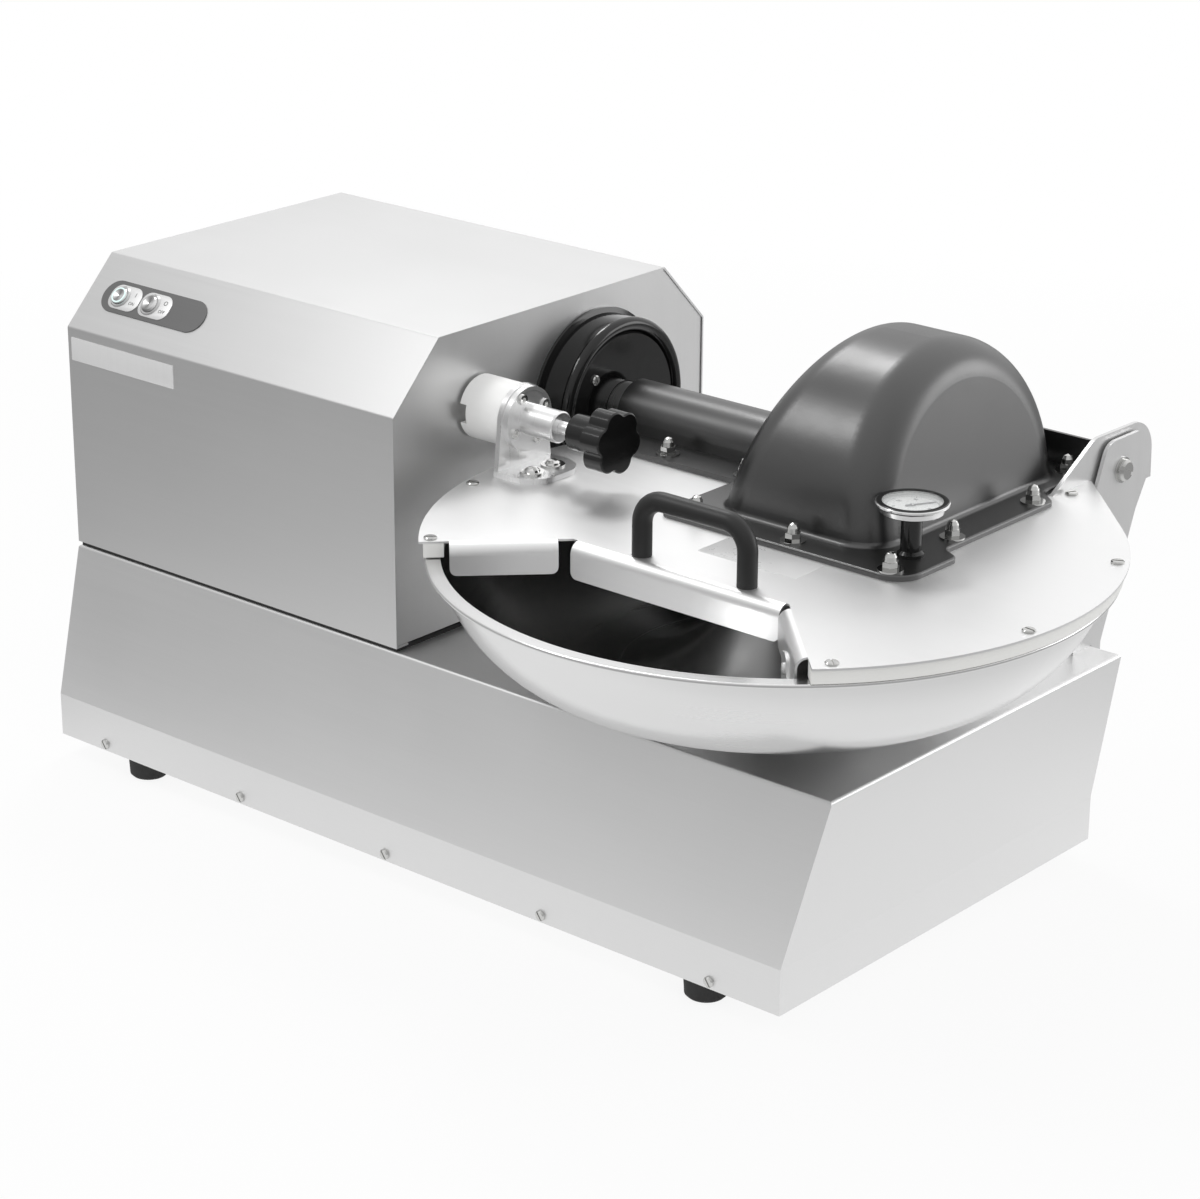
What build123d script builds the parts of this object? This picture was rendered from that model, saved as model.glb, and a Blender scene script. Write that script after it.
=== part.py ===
"""Table-top meat bowl cutter: a folded steel plinth carries a motor housing on the left and a
turning bowl on the right. A knife shaft runs from the housing over the bowl, under a hinged lid
with a moulded black knife cover. One belt drives the knives, a second belt turns the bowl through
a worm gear. All sizes are millimetres.

While it is drawn, x = 0 is the plinth's left end, y = 0 its front top edge and z = 0 its top
plate. At the end everything is moved so that the origin is the middle of the box that holds the
machine, on the surface that it stands on: +X runs along the machine to the bowl, +Z is up."""

from build123d import *

import os
from math import atan2, cos, hypot, pi, radians, sin, sqrt, tan

os.makedirs("parts", exist_ok=True)

# ---------------------------------------------------------------- driving dimensions
sheet = 1.5                     # folded stainless sheet of plinth, housing and lid
sheet_bend = 2.5                # outside radius of the folds

plinth_depth = 343.0
plinth_height = 151.0
plinth_lip = 34.0               # upright band along the bottom edge
front_flare = 26.5              # how far the front face leans out towards its foot
end_taper = 18.3                # how far the right end leans in towards its foot
end_margin = 128.0              # from the bowl's axis to the plinth's right end
tray_rim = 21.0                 # upturned edge of the bottom tray
plinth_screw_count = 5
plinth_screw_first = 51.0
plinth_screw_pitch = 150.8
plinth_screw_up = 5.5           # screw centres above the bottom edge
screw_radius = 2.0              # shanks of the small case screws
screw_bore = 2.2
foot_radius = 16.0
foot_height = 18.0
foot_end_inset = 78.0
foot_side_inset = 20.0

housing_length = 342.0
housing_top = 224.5
housing_wall_top = 175.8        # where the long chamfers start
housing_chamfer = 47.5
gasket = 3.0                    # seal strip between plinth and housing
gasket_width = 12.0
gasket_setback = 2.0
panel_recess = 1.0              # end panels sit this far inside the wrap
panel_gap = 0.1                 # between an end panel and the wrap
vent_rows = 3
vent_columns = 9
vent_length = 60.0
vent_row_pitch = 76.0
vent_pitch = 9.0
vent_width = 3.0
vent_low = 60.0

button_places = (36.0, 69.0)    # start and stop, from the housing's left end
button_radius = 7.0
button_rise = 3.4
button_travel = 2.0
button_depth = 8.0
button_gap = 0.1                # round a button in its bezel
control_start = 17.0
control_end = 127.0
control_width = 27.0
control_thick = 0.8
bezel_radius = 9.0
bezel_height = 1.6

gland_x = 70.0
gland_z = -112.0
gland_thread = 8.0
gland_bore = 4.5
gland_flat = 12.0

lid_to_housing = 23.0           # from the housing's right end to the lid
lid_to_back = 7.6               # from the lid to the plinth's back face
bowl_rim_z = 114.2
bowl_rim_radius = 235.0
bowl_rim_thick = 3.0
bowl_rim_width = 10.5
bowl_rim_shelf = 6.4            # flat part of the rim outside the channel
bowl_wall = 2.5
channel_radius = 108.5          # inside of the channel, round the knife shaft
shaft_over_rim = 24.8
hub_depth = 53.0                # from the knife shaft's axis down to the bowl's flat middle

shaft_radius = 14.0
journal_radius = 12.5
knife_clearance = 7.5           # from the knives' points to the channel
knife_thick = 3.5
knife_gap = 8.0                 # from one knife to the next along the shaft
knife_count = 3
knife_hub_radius = 30.0
knife_lead = 35.0               # degrees, first knife
spacer_inset = 1.0
spacer_gap = 2.0
nut_flat_radius = 23.0
nut_length = 18.0
shaft_end = 28.0                # shaft beyond the last knife

lid_overhang = 4.0              # the lid reaches this far past the bowl's rim
lid_ring_width = 14.0
lid_ring_height = 9.9
lid_ring_inset = 3.0
lid_ring_gap = 0.8              # from the ring down to the bowl's rim
mouth_shift = 5.0               # the mouth's middle is this far left of the bowl's axis
mouth_half = 92.0               # half the straight edge of the feeding mouth
mouth_back = 94.4               # from the bowl's axis to the mouth's straight edge
lip_bend = 8.0
lip_depth = 25.0
lid_screw_angles = (-166, -137, -43, -8, 28.5, 63.4, 125)
lid_screw_inset = 8.0

pivot_behind = 34.4             # from the lid's back edge to the hinge axis
pivot_rise = 0.8                # hinge axis over the lid's top
pivot_radius = 5.0
arm_thick = 3.0
arm_outer = 97.0                # from the bowl's axis to the outer face of a hinge arm
arm_reach = 81.0                # from the hinge axis forward along the lid
arm_drop = 18.5                 # from the hinge axis to an arm's lower edge
arm_crown = 29.0                # and to its upper edge
arm_back = 48.0                 # and to its back edge
arm_corner = 26.0
post_crown = 24.0
post_back = 38.0
post_corner = 13.0
post_gap = 2.0
post_thick = 3.0
post_foot = 22.0
stop_radius = 4.0
stop_along = 30.0
lid_opening = 95.0              # degrees

cover_wall = 2.5
cover_flange = 4.0
dome_from_axis = 63.0           # dome's left foot, from the bowl's axis
dome_to_axis = 80.0             # dome's right foot
dome_half = 113.0               # half the dome's depth, front to back
dome_height = 107.5             # from the knife shaft's axis to the dome's top
dome_left_draft = 20.0          # degrees
dome_right_draft = 8.0
dome_round = 28.0
tube_radius = 24.0
tube_gap = 11.5                 # from the bearing cap to the cover's tube
cover_from_axis = 84.0
cover_to_axis = 108.0
cover_margin = 27.1             # flange in front of the dome
cover_past_lid = 9.6            # the cover's flange ends this far behind the lid's circle
cover_corner = 8.0
ear_width = 15.0                # the flange's ear under the thermometer
ear_depth = 60.5
ear_corner = 20.0
tube_flange_half = 55.0
washer_radius = 8.8
washer_thick = 1.2
nut_flats = 5.7
nut_height = 5.0
nut_dome = 7.0
guard_height = 27.0

cap_radius = 70.3
cap_length = 30.5
cap_rim = 2.5                   # thin flange against the end panel
cap_step = 3.0                  # the cap's round face is this much smaller in radius
cap_bead = 5.0
cap_screw_angles = (139, 319)
cap_screw_radius = 42.5
collar_radius = 19.5

latch_forward = 6.4             # the latch's axis is this far in front of the bowl's
latch_rise = 38.1               # latch axis over the lid's top
latch_radius = 23.5
latch_gap = 1.3                 # from the housing's end to the latch's sleeve
latch_sleeve = 37.2
latch_travel = 12.0
latch_plate = 4.0
latch_half = 28.5
latch_foot = 26.0
flange_thick = 5.0
neck_radius = 11.5
neck_length = 30.0
nose_radius = 7.0
rod_radius = 4.7
keeper_radius = 12.0
knob_gap = 14.5                 # from the neck to the knob
knob_radius = 23.5
knob_lobe = 10.0
knob_lobes = 6
knob_hub_radius = 13.0
knob_hub = 23.0
knob_thick = 16.5

handle_span = 89.0
handle_shift = 42.0             # from the bowl's axis to the handle's left foot
handle_behind_mouth = 7.0
handle_rise = 41.0
handle_radius = 6.9
handle_bend = 18.0

dial_side = 98.0                # from the bowl's axis to the dial's, along X
dial_back = 42.2                # from the cover's front edge to the dial's axis
dial_radius = 25.0
dial_rise = 42.1                # dial's rim over the lid's top
dial_deep = 7.5
dial_rim = 3.0
stem_radius = 7.2
needle_angle = 60.0             # degrees

scraper_start = 44.0            # along the mouth's right edge
scraper_length = 30.0
scraper_thick = 2.0
scraper_blade_thick = 6.0

motor_y = 95.0
motor_z = 72.0
motor_radius = 60.0
motor_start = 90.0
motor_end_gap = 57.0            # from the motor's ribs to the housing's right end
motor_ribs = 24
rib_height = 6.0
cowl_length = 35.0
motor_shaft = 10.0
mount_inset = 20.0
mount_half = 50.0
worm_z = -75.0
gear_centres = 50.0             # from the bowl's axis to the worm shaft
knife_belt_x = 44.0
bowl_belt_x = 20.0
knife_belt_width = 24.0
bowl_belt_width = 20.0
pulley_flange = 3.0
motor_knife_pulley = 45.0
knife_pulley_radius = 30.0
motor_bowl_pulley = 30.0
worm_pulley_radius = 45.0
belt_thick = 5.0
belt_margin = 4.0               # shaft ends and the belt slot reach this far past a pulley
belt_slot_margin = 15.0
bearing_radius = 26.0
bearing_width = 15.0
bearing_start = 100.0
carrier_radius = 36.0
carrier_bore = 20.0
carrier_flange = 62.0
carrier_flange_thick = 9.0
worm_shaft_radius = 9.0
worm_tip = 15.0
worm_wheel_teeth = 30
case_half = 62.0
case_wall = 7.0
case_over_worm = 30.0
spindle_radius = 12.0
neck_hole = 22.0                # in the plinth's top for the spindle's bearing neck
thrust_radius = 48.0            # of the bowl bearing's flange
stand_x = 62.0
stand_width = 20.0
stand_half = 30.0
stand_boss = 22.0
stand_foot = 10.0

running = 0.05                  # radial clearance of a shaft in its bearing
free = 0.5                      # gap between pieces that pass one another
touch = 0.3                     # gap between a belt and its pulleys
through = 9.0                   # cutters reach this far past a wall

# ---------------------------------------------------------------- places that follow from them
lid_radius = bowl_rim_radius + lid_overhang
bowl_x = housing_length + lid_to_housing + lid_radius
bowl_y = plinth_depth - lid_to_back - lid_radius
plinth_length = bowl_x + end_margin
panel_x = housing_length - panel_recess
plinth_fold_z = -(plinth_height - plinth_lip)
floor_z = -plinth_height - foot_height

shaft_z = bowl_rim_z + shaft_over_rim
channel_offset = bowl_rim_radius - bowl_rim_shelf - channel_radius
shaft_y = bowl_y + channel_offset
hub_top = shaft_z - hub_depth
hub_radius = channel_offset - sqrt((channel_radius + bowl_wall / 2) ** 2 - hub_depth**2)
hub_wall = channel_radius + bowl_wall
hub_low = shaft_z - sqrt(hub_wall**2 - (channel_offset - hub_radius) ** 2)
knife_radius = channel_radius - knife_clearance
first_knife = bowl_x - (knife_count - 1) / 2 * knife_gap - knife_thick / 2
last_knife = first_knife + (knife_count - 1) * knife_gap
knife_stack = last_knife + knife_thick

lid_under = bowl_rim_z + lid_ring_gap + lid_ring_height
lid_top = lid_under + sheet
mouth_x = bowl_x - mouth_shift
mouth_y = bowl_y - mouth_back
pivot_y = bowl_y + lid_radius + pivot_behind
pivot_z = lid_top + pivot_rise
arm_x = bowl_x + arm_outer
arm_inner = arm_x - arm_thick
arm_front = pivot_y - arm_reach
arm_under = pivot_z - arm_drop
post_x = arm_x + post_gap

cover_top = lid_top + cover_flange
cover_left = bowl_x - cover_from_axis
cover_right = bowl_x + cover_to_axis
cover_front = shaft_y - dome_half - cover_margin
cover_back = bowl_y + lid_radius + cover_past_lid
dome_left = bowl_x - dome_from_axis
dome_right = bowl_x + dome_to_axis
cap_end = panel_x + cap_length
tube_left = cap_end + tube_gap

latch_y = bowl_y - latch_forward
latch_z = lid_top + latch_rise
latch_start = housing_length + latch_gap
latch_plate_x = latch_start + latch_sleeve
neck_start = latch_plate_x + latch_plate + flange_thick
neck_end = neck_start + neck_length
knob_start = neck_end + knob_gap

handle_left = bowl_x - handle_shift
handle_right = handle_left + handle_span
handle_y = mouth_y + handle_behind_mouth
dial_x = bowl_x + dial_side
dial_y = cover_front + dial_back
dial_top = lid_top + dial_rise

motor_end = housing_length - motor_end_gap
worm_y = bowl_y + gear_centres
wheel_tip = gear_centres - worm_tip - free
case_bottom = -plinth_height + sheet
case_top = worm_z + case_over_worm
bearing_places = (bearing_start, panel_x - sheet - bearing_width)
chamfer_rise = housing_top - housing_wall_top
panel_plane = Plane(
    origin=(0, housing_chamfer / 2, (housing_top + housing_wall_top) / 2),
    x_dir=(1, 0, 0),
    z_dir=(0, -chamfer_rise, housing_chamfer),
)


# ---------------------------------------------------------------- small helpers
def block(x0, x1, y0, y1, z0, z1):
    """A box between two corners."""
    return Pos((x0 + x1) / 2, (y0 + y1) / 2, (z0 + z1) / 2) * Box(x1 - x0, y1 - y0, z1 - z0)


def rod_x(x0, x1, y, z, radius):
    """A cylinder along X."""
    return Pos((x0 + x1) / 2, y, z) * Rot(0, 90, 0) * Cylinder(radius, x1 - x0)


def rod_y(x, y0, y1, z, radius):
    """A cylinder along Y."""
    return Pos(x, (y0 + y1) / 2, z) * Rot(90, 0, 0) * Cylinder(radius, y1 - y0)


def rod_z(x, y, z0, z1, radius):
    """A cylinder along Z."""
    return Pos(x, y, (z0 + z1) / 2) * Cylinder(radius, z1 - z0)


def plate_x(points, x0, x1, corner=0.0):
    """A plate with an outline of (y, z) points, from x0 to x1, with rounded corners."""
    face = make_face(Polyline(*points, close=True))
    if corner:
        face = fillet(face.vertices(), corner)
    return extrude(Plane.YZ.offset(x0) * face, amount=x1 - x0)


def plate_z(points, z0, z1, corner=0.0):
    """A plate with an outline of (x, y) points, from z0 to z1, with rounded corners."""
    face = make_face(Polyline(*points, close=True))
    if corner:
        face = fillet(face.vertices(), corner)
    return extrude(Plane.XY.offset(z0) * face, amount=z1 - z0)


def turned_x(points, y, z):
    """A piece turned about an axis along X, from (x, radius) points."""
    face = make_face(Polyline(*points, close=True))
    return Pos(0, y, z) * revolve(face, axis=Axis.X)


def turned_z(points, x, y):
    """A piece turned about an upright axis, from (radius, z) points."""
    face = Plane.XZ * make_face(Polyline(*points, close=True))
    return Pos(x, y, 0) * revolve(face, axis=Axis.Z)


def standing(radius, height):
    """A cylinder that stands on the XY plane."""
    return Cylinder(radius, height, align=(Align.CENTER, Align.CENTER, Align.MIN))


def slotted_head(radius, height):
    """A pan-head screw's head on the XY plane, with its slot."""
    head = standing(radius, height)
    head = chamfer(head.edges().sort_by(Axis.Z)[-1], height * 0.4)
    slot = Pos(0, 0, height) * Box(radius * 3, radius * 0.3, height)
    return head - slot


def both_sides(piece):
    """The piece and its mirror image about the upright plane through the bowl's axis."""
    middle = Plane.YZ.offset(bowl_x)
    return [piece, piece.mirror(middle)]


# ---------------------------------------------------------------- plinth
def plinth_form(inset, extra):
    """The plinth's form, made smaller by inset all round and longer at the bottom by extra."""
    bottom = -plinth_height - extra
    side = Polyline(
        (0, 0),
        (-front_flare, plinth_fold_z),
        (-front_flare, bottom),
        (plinth_depth, bottom),
        (plinth_depth, 0),
        close=True,
    )
    front = Polyline(
        (0, 0),
        (plinth_length, 0),
        (plinth_length - end_taper, plinth_fold_z),
        (plinth_length - end_taper, bottom),
        (0, bottom),
        close=True,
    )
    side_face = make_face(side)
    front_face = make_face(front)
    if inset:
        side_face = offset(side_face, -inset, kind=Kind.INTERSECTION)
        front_face = offset(front_face, -inset, kind=Kind.INTERSECTION)
    along = extrude(Plane.YZ * side_face, amount=plinth_length)
    across = extrude(Plane.XZ * front_face, amount=2 * plinth_depth, both=True)
    return along & across


def plinth_shell():
    """The folded plinth, open at the bottom, with its belt slot and spindle hole."""
    outer = plinth_form(0, 0)
    sharp = outer.edges().filter_by(lambda e: e.center().Z > plinth_fold_z / 2)
    outer = fillet(sharp, sheet_bend)
    shell = outer - plinth_form(sheet, 2 * sheet + 1)
    slot_start = bowl_belt_x - belt_margin
    slot_end = bowl_belt_x + bowl_belt_width + belt_margin
    low_y = motor_y - motor_bowl_pulley - belt_slot_margin
    high_y = worm_y + worm_pulley_radius + 4 * belt_slot_margin
    shell -= block(slot_start, slot_end, low_y, high_y, -through, through)
    shell -= rod_z(bowl_x, bowl_y, -through, through, neck_hole)
    z = -plinth_height + plinth_screw_up
    for x in plinth_screw_places():
        shell -= rod_y(x, -front_flare - through, -front_flare + through, z, screw_bore)
        shell -= rod_y(x, plinth_depth - through, plinth_depth + through, z, screw_bore)
    back = plinth_depth
    return shell - rod_y(gland_x, back - through, back + through, gland_z, gland_thread)


def plinth_screw_places():
    """Where the screws stand along the plinth's bottom edge."""
    return [plinth_screw_first + i * plinth_screw_pitch for i in range(plinth_screw_count)]


def bottom_tray():
    """The tray that closes the plinth and holds the feet and the gear case."""
    x1 = plinth_length - end_taper - sheet
    y0 = -front_flare + sheet
    y1 = plinth_depth - sheet
    z0 = -plinth_height
    tray = block(sheet, x1, y0, y1, z0, z0 + tray_rim)
    tray -= block(2 * sheet, x1 - sheet, y0 + sheet, y1 - sheet, z0 + sheet, z0 + 2 * tray_rim)
    z = z0 + plinth_screw_up
    for x in plinth_screw_places():
        tray -= rod_y(x, y0 - through, y0 + through, z, screw_bore)
        tray -= rod_y(x, y1 - through, y1 + through, z, screw_bore)
    return tray


def rubber_feet():
    """Four rubber feet, slightly tapered, with a rounded foot edge."""
    x_end = plinth_length - end_taper - foot_end_inset
    feet = []
    for x in (foot_end_inset, x_end):
        for y in (-front_flare + foot_side_inset, plinth_depth - foot_side_inset):
            outline = [
                (0, floor_z),
                (foot_radius - 3, floor_z),
                (foot_radius - 1, floor_z + 2),
                (foot_radius, -plinth_height),
                (0, -plinth_height),
            ]
            feet.append(turned_z(outline, x, y))
    return feet


def case_screws():
    """Slotted screws of the plinth's bottom edge and of the bearing cap."""
    screws = []
    z = -plinth_height + plinth_screw_up
    for x in plinth_screw_places():
        shank = Pos(0, 0, -3 * screw_radius) * Cylinder(screw_radius, 6 * screw_radius)
        front = Plane(origin=(x, -front_flare, z), z_dir=(0, -1, 0))
        back = Plane(origin=(x, plinth_depth, z), z_dir=(0, 1, 0))
        for face in (front, back):
            screws.append(face * Rot(0, 0, 35) * (slotted_head(2 * screw_radius, 2.2) + shank))
    for y, z in cap_screw_places():
        spot = Plane(origin=(cap_end - cap_bead / 2, y, z), z_dir=(1, 0, 0))
        shank = Pos(0, 0, -cap_length / 3) * Cylinder(screw_radius, 2 * cap_length / 3)
        screws.append(spot * Rot(0, 0, 20) * (slotted_head(3.8, 2) + shank))
    return screws


# ---------------------------------------------------------------- motor housing
def housing_outline(inset):
    """The housing's end outline in (y, z), made smaller by inset."""
    points = [
        (0, gasket),
        (0, housing_wall_top),
        (housing_chamfer, housing_top),
        (plinth_depth - housing_chamfer, housing_top),
        (plinth_depth, housing_wall_top),
        (plinth_depth, gasket),
    ]
    face = make_face(Polyline(*points, close=True))
    upper = face.vertices().filter_by(lambda v: v.Y > gasket + 1)
    face = fillet(upper, sheet_bend)
    if inset:
        face = offset(face, -inset, kind=Kind.INTERSECTION)
    return face


def housing_shell():
    """The wrap of one folded sheet, with turned-in edges at its foot."""
    outer = extrude(Plane.YZ * housing_outline(0), amount=housing_length)
    inner = extrude(Plane.YZ.offset(-1) * housing_outline(sheet), amount=housing_length + 2)
    back = plinth_depth - gasket_width
    well = block(-1, housing_length + 1, gasket_width, back, gasket - 1, gasket + through)
    wrap = outer - inner - well
    for x in button_places:
        hole = Pos(x, 0, 0) * Cylinder(button_radius + free, 2 * through)
        wrap -= panel_plane * hole
    return wrap


def housing_panel(x0):
    """An end panel's blank from x0."""
    return extrude(Plane.YZ.offset(x0) * housing_outline(sheet + panel_gap), amount=sheet)


def housing_end_panel():
    """The right end panel, with the knife shaft's hole and the latch hole."""
    panel = housing_panel(panel_x - sheet)
    low, high = panel_x - through, panel_x + through
    panel -= rod_x(low, high, shaft_y, shaft_z, carrier_radius - 6)
    return panel - rod_x(low, high, latch_y, latch_z, keeper_radius)


def housing_vent_panel():
    """The left end panel with rows of air slots."""
    panel = housing_panel(panel_recess)
    half = vent_length / 2
    for row in range(vent_rows):
        y = plinth_depth / 2 + (row - (vent_rows - 1) / 2) * vent_row_pitch
        for column in range(vent_columns):
            z = vent_low + column * vent_pitch
            panel -= block(-through, through, y - half, y + half, z, z + vent_width)
    return panel


def housing_gasket():
    """The black seal strip under the housing, set back from its face."""
    low, right, back = gasket_setback, housing_length - gasket_setback, plinth_depth - gasket_setback
    outer = block(low, right, low, back, 0, gasket)
    w = gasket_width
    return outer - block(low + w, right - w, low + w, back - w, -1, gasket + 1)


def latch_keeper():
    """The bush in the end panel that the latch's nose enters."""
    ring = rod_x(panel_x - keeper_radius, panel_x, latch_y, latch_z, keeper_radius)
    hole = rod_x(panel_x - 2 * keeper_radius, panel_x + 5, latch_y, latch_z, nose_radius + free)
    return ring - hole


# ---------------------------------------------------------------- controls


def control_panel():
    """The round-ended control plate on the housing's front chamfer."""
    length = control_end - control_start
    middle = (control_end + control_start) / 2
    plate = Pos(middle, 0, 0) * extrude(SlotOverall(length, control_width), amount=control_thick)
    for x in button_places:
        plate -= Pos(x, 0, 0) * Cylinder(button_radius + free, 9)
    return panel_plane * plate


def button_bezels():
    """Two turned rings that the buttons move in."""
    rings = []
    for x in button_places:
        ring = Pos(0, 0, control_thick) * standing(bezel_radius, bezel_height)
        ring = chamfer(ring.edges().sort_by(Axis.Z)[-1], bezel_height / 2)
        ring -= Cylinder(button_radius + button_gap, 4 * button_depth)
        rings.append(panel_plane * Pos(x, 0, 0) * ring)
    return rings


def push_button(x):
    """A button with a dished round face, which slides square to the panel."""
    top = control_thick + button_rise
    edge = button_rise / 3
    outline = [
        (0, -button_depth),
        (button_radius, -button_depth),
        (button_radius, top - edge),
        (button_radius - edge, top),
        (button_radius - 2 * edge, top),
        (0, top - 1.2 * edge),
    ]
    body = revolve(Plane.XZ * make_face(Polyline(*outline, close=True)), axis=Axis.Z)
    return panel_plane * Pos(x, 0, 0) * body


def cable_gland():
    """The mains inlet gland through the plinth's back, with nuts on both sides."""
    y = plinth_depth
    body = rod_y(gland_x, y - 12, y + 22, gland_z, gland_thread - panel_gap)
    turn = Rot(90, 0, 0)
    hexagon = RegularPolygon(gland_flat, 6)
    outside = Pos(gland_x, y + 5, gland_z) * turn * extrude(hexagon, 5, both=True)
    inside = Pos(gland_x, y - 5, gland_z) * turn * extrude(hexagon, 3.5, both=True)
    seat = Plane(origin=(gland_x, y + 10, gland_z), z_dir=(0, 1, 0))
    dome = seat * Cone(11, 7.5, 14, align=(Align.CENTER, Align.CENTER, Align.MIN))
    return body + outside + inside + dome - rod_y(gland_x, y - 30, y + 40, gland_z, gland_bore)


# ---------------------------------------------------------------- drive


def pulley(x0, width, y, z, radius, bore):
    """A flat-belt pulley with a rim on each side."""
    rim = radius + belt_thick
    body = rod_x(x0, x0 + width, y, z, rim)
    seat = rod_x(x0 + pulley_flange, x0 + width - pulley_flange, y, z, rim + 1)
    seat -= rod_x(x0, x0 + width, y, z, radius)
    return body - seat - rod_x(x0 - 1, x0 + width + 1, y, z, bore)


def belt(x0, width, start, end):
    """A belt round two pulleys, each given as (y, z, radius), a hair clear of both."""
    x_low = x0 + pulley_flange + touch
    x_high = x0 + width - pulley_flange - touch
    (y0, z0, start_radius), (y1, z1, end_radius) = start, end
    run = hypot(y1 - y0, z1 - z0)
    heading = atan2(z1 - z0, y1 - y0)

    def tangent_point(y, z, radius, lean):
        return (y + radius * cos(heading + lean), z + radius * sin(heading + lean))

    def loop(extra):
        r0, r1 = start_radius + extra, end_radius + extra
        lean = atan2(sqrt(run**2 - (r0 - r1) ** 2), r0 - r1)
        corners = [
            tangent_point(y0, z0, r0, lean),
            tangent_point(y1, z1, r1, lean),
            tangent_point(y1, z1, r1, -lean),
            tangent_point(y0, z0, r0, -lean),
        ]
        quad = make_face(Polyline(*corners, close=True))
        return quad + Pos(y0, z0) * Circle(r0) + Pos(y1, z1) * Circle(r1)

    ring = loop(touch + belt_thick) - loop(touch)
    return extrude(Plane.YZ.offset(x_low) * ring, amount=x_high - x_low)


def motor_body():
    """The motor with its cooling ribs, end shields and fan cowl."""
    x0, x1 = motor_start, motor_end
    core = motor_radius - rib_height
    body = rod_x(x0, x1, motor_y, motor_z, core)
    for i in range(motor_ribs):
        rib = Pos((x0 + x1) / 2, 0, core) * Box(x1 - x0 - 5 * rib_height, 2, 2 * rib_height)
        body += Pos(0, motor_y, motor_z) * Rot(i * 360 / motor_ribs, 0, 0) * rib
    cowl = rod_x(x1 - 2, x1 + cowl_length, motor_y, motor_z, motor_radius)
    shield = rod_x(x0 - rib_height / 2, x0 + rib_height * 2, motor_y, motor_z, motor_radius)
    return body + cowl + shield - rod_x(0, x0 + 4 * motor_shaft, motor_y, motor_z, motor_shaft + running)


def motor_mount():
    """The cast cradle that carries the motor on the plinth top."""
    under = motor_z - motor_radius
    x0, x1 = motor_start + mount_inset, motor_end - 2 * mount_inset
    top = under + mount_half / 2
    cradle = block(x0, x1, motor_y - mount_half, motor_y + mount_half, 0, top)
    return cradle - rod_x(x0 - through, x1 + through, motor_y, motor_z, motor_radius + free)


def motor_rotor():
    """The motor's shaft end with its double pulley: one seat for each belt."""
    inside = motor_start + 4 * motor_shaft - 2
    shaft = rod_x(bowl_belt_x - belt_margin, inside, motor_y, motor_z, motor_shaft)
    small = pulley(bowl_belt_x, bowl_belt_width, motor_y, motor_z, motor_bowl_pulley, motor_shaft)
    large = pulley(knife_belt_x, knife_belt_width, motor_y, motor_z, motor_knife_pulley, motor_shaft)
    joint = rod_x(bowl_belt_x + bowl_belt_width, knife_belt_x, motor_y, motor_z, 2 * motor_shaft)
    joint -= rod_x(0, motor_start, motor_y, motor_z, motor_shaft)
    return [shaft, small + large + joint]


def bearing_housing():
    """The cast tube that carries the knife shaft, with its flange and foot."""
    end = panel_x - sheet
    first = bearing_start - 4
    tube = rod_x(first, end, shaft_y, shaft_z, carrier_radius)
    tube += rod_x(end - carrier_flange_thick, end, shaft_y, shaft_z, carrier_flange)
    foot_start, foot_end = bearing_start + bearing_width, end - 2 * bearing_width
    web = block(foot_start, foot_end, shaft_y - 6, shaft_y + 6, 0, shaft_z - carrier_bore)
    foot = block(foot_start, foot_end, shaft_y - 40, shaft_y + 40, 0, 8)
    tube += web + foot
    tube -= rod_x(first - through, end + through, shaft_y, shaft_z, carrier_bore)
    for x in bearing_places:
        tube -= rod_x(x, x + bearing_width, shaft_y, shaft_z, bearing_radius)
    return tube - rod_x(first - through, bearing_start + 1, shaft_y, shaft_z, bearing_radius)


def knife_bearings():
    """Two ball bearings of the knife shaft."""
    rings = []
    outer, inner = bearing_radius - 3.5, journal_radius + 4
    for x in bearing_places:
        end = x + bearing_width
        race = rod_x(x, end, shaft_y, shaft_z, bearing_radius)
        race -= rod_x(x - 1, end + 1, shaft_y, shaft_z, journal_radius + running)
        groove = rod_x(x - 1, x + 1.5, shaft_y, shaft_z, outer)
        groove -= rod_x(x - 1, x + 2, shaft_y, shaft_z, inner)
        rings.append(race - groove - Pos(bearing_width, 0, 0) * groove)
    return rings


def cap_screw_places():
    """Where the bearing cap's screws stand, as (y, z)."""
    return [
        (
            shaft_y + cap_screw_radius * cos(radians(angle)),
            shaft_z + cap_screw_radius * sin(radians(angle)),
        )
        for angle in cap_screw_angles
    ]


def bearing_cap():
    """The black moulded cap over the knife bearing: thin rim, drum and beaded face."""
    x0, x1 = panel_x, cap_end
    front = cap_radius - cap_step
    bead_x = x1 - cap_bead
    face_x = x1 - cap_bead / 2
    bore = collar_radius + free
    outline = Polyline(
        (x0, bore),
        (x0, cap_radius),
        (x0 + cap_rim, cap_radius),
        (x0 + cap_rim + 1, front - 1),
        (bead_x - 2, front - 1),
        (bead_x, front),
    )
    bead = ThreePointArc(
        (bead_x, front), (x1, front - cap_bead), (bead_x, front - 2 * cap_bead)
    )
    rest = Polyline(
        (bead_x, front - 2 * cap_bead),
        (face_x, front - 2 * cap_bead - 2),
        (face_x, bore),
        (x0, bore),
    )
    face = make_face([outline, bead, rest])
    cap = Pos(0, shaft_y, shaft_z) * revolve(face, axis=Axis.X)
    for y, z in cap_screw_places():
        cap -= rod_x(x0 - 1, x1 + 1, y, z, screw_bore)
    return cap


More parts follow.
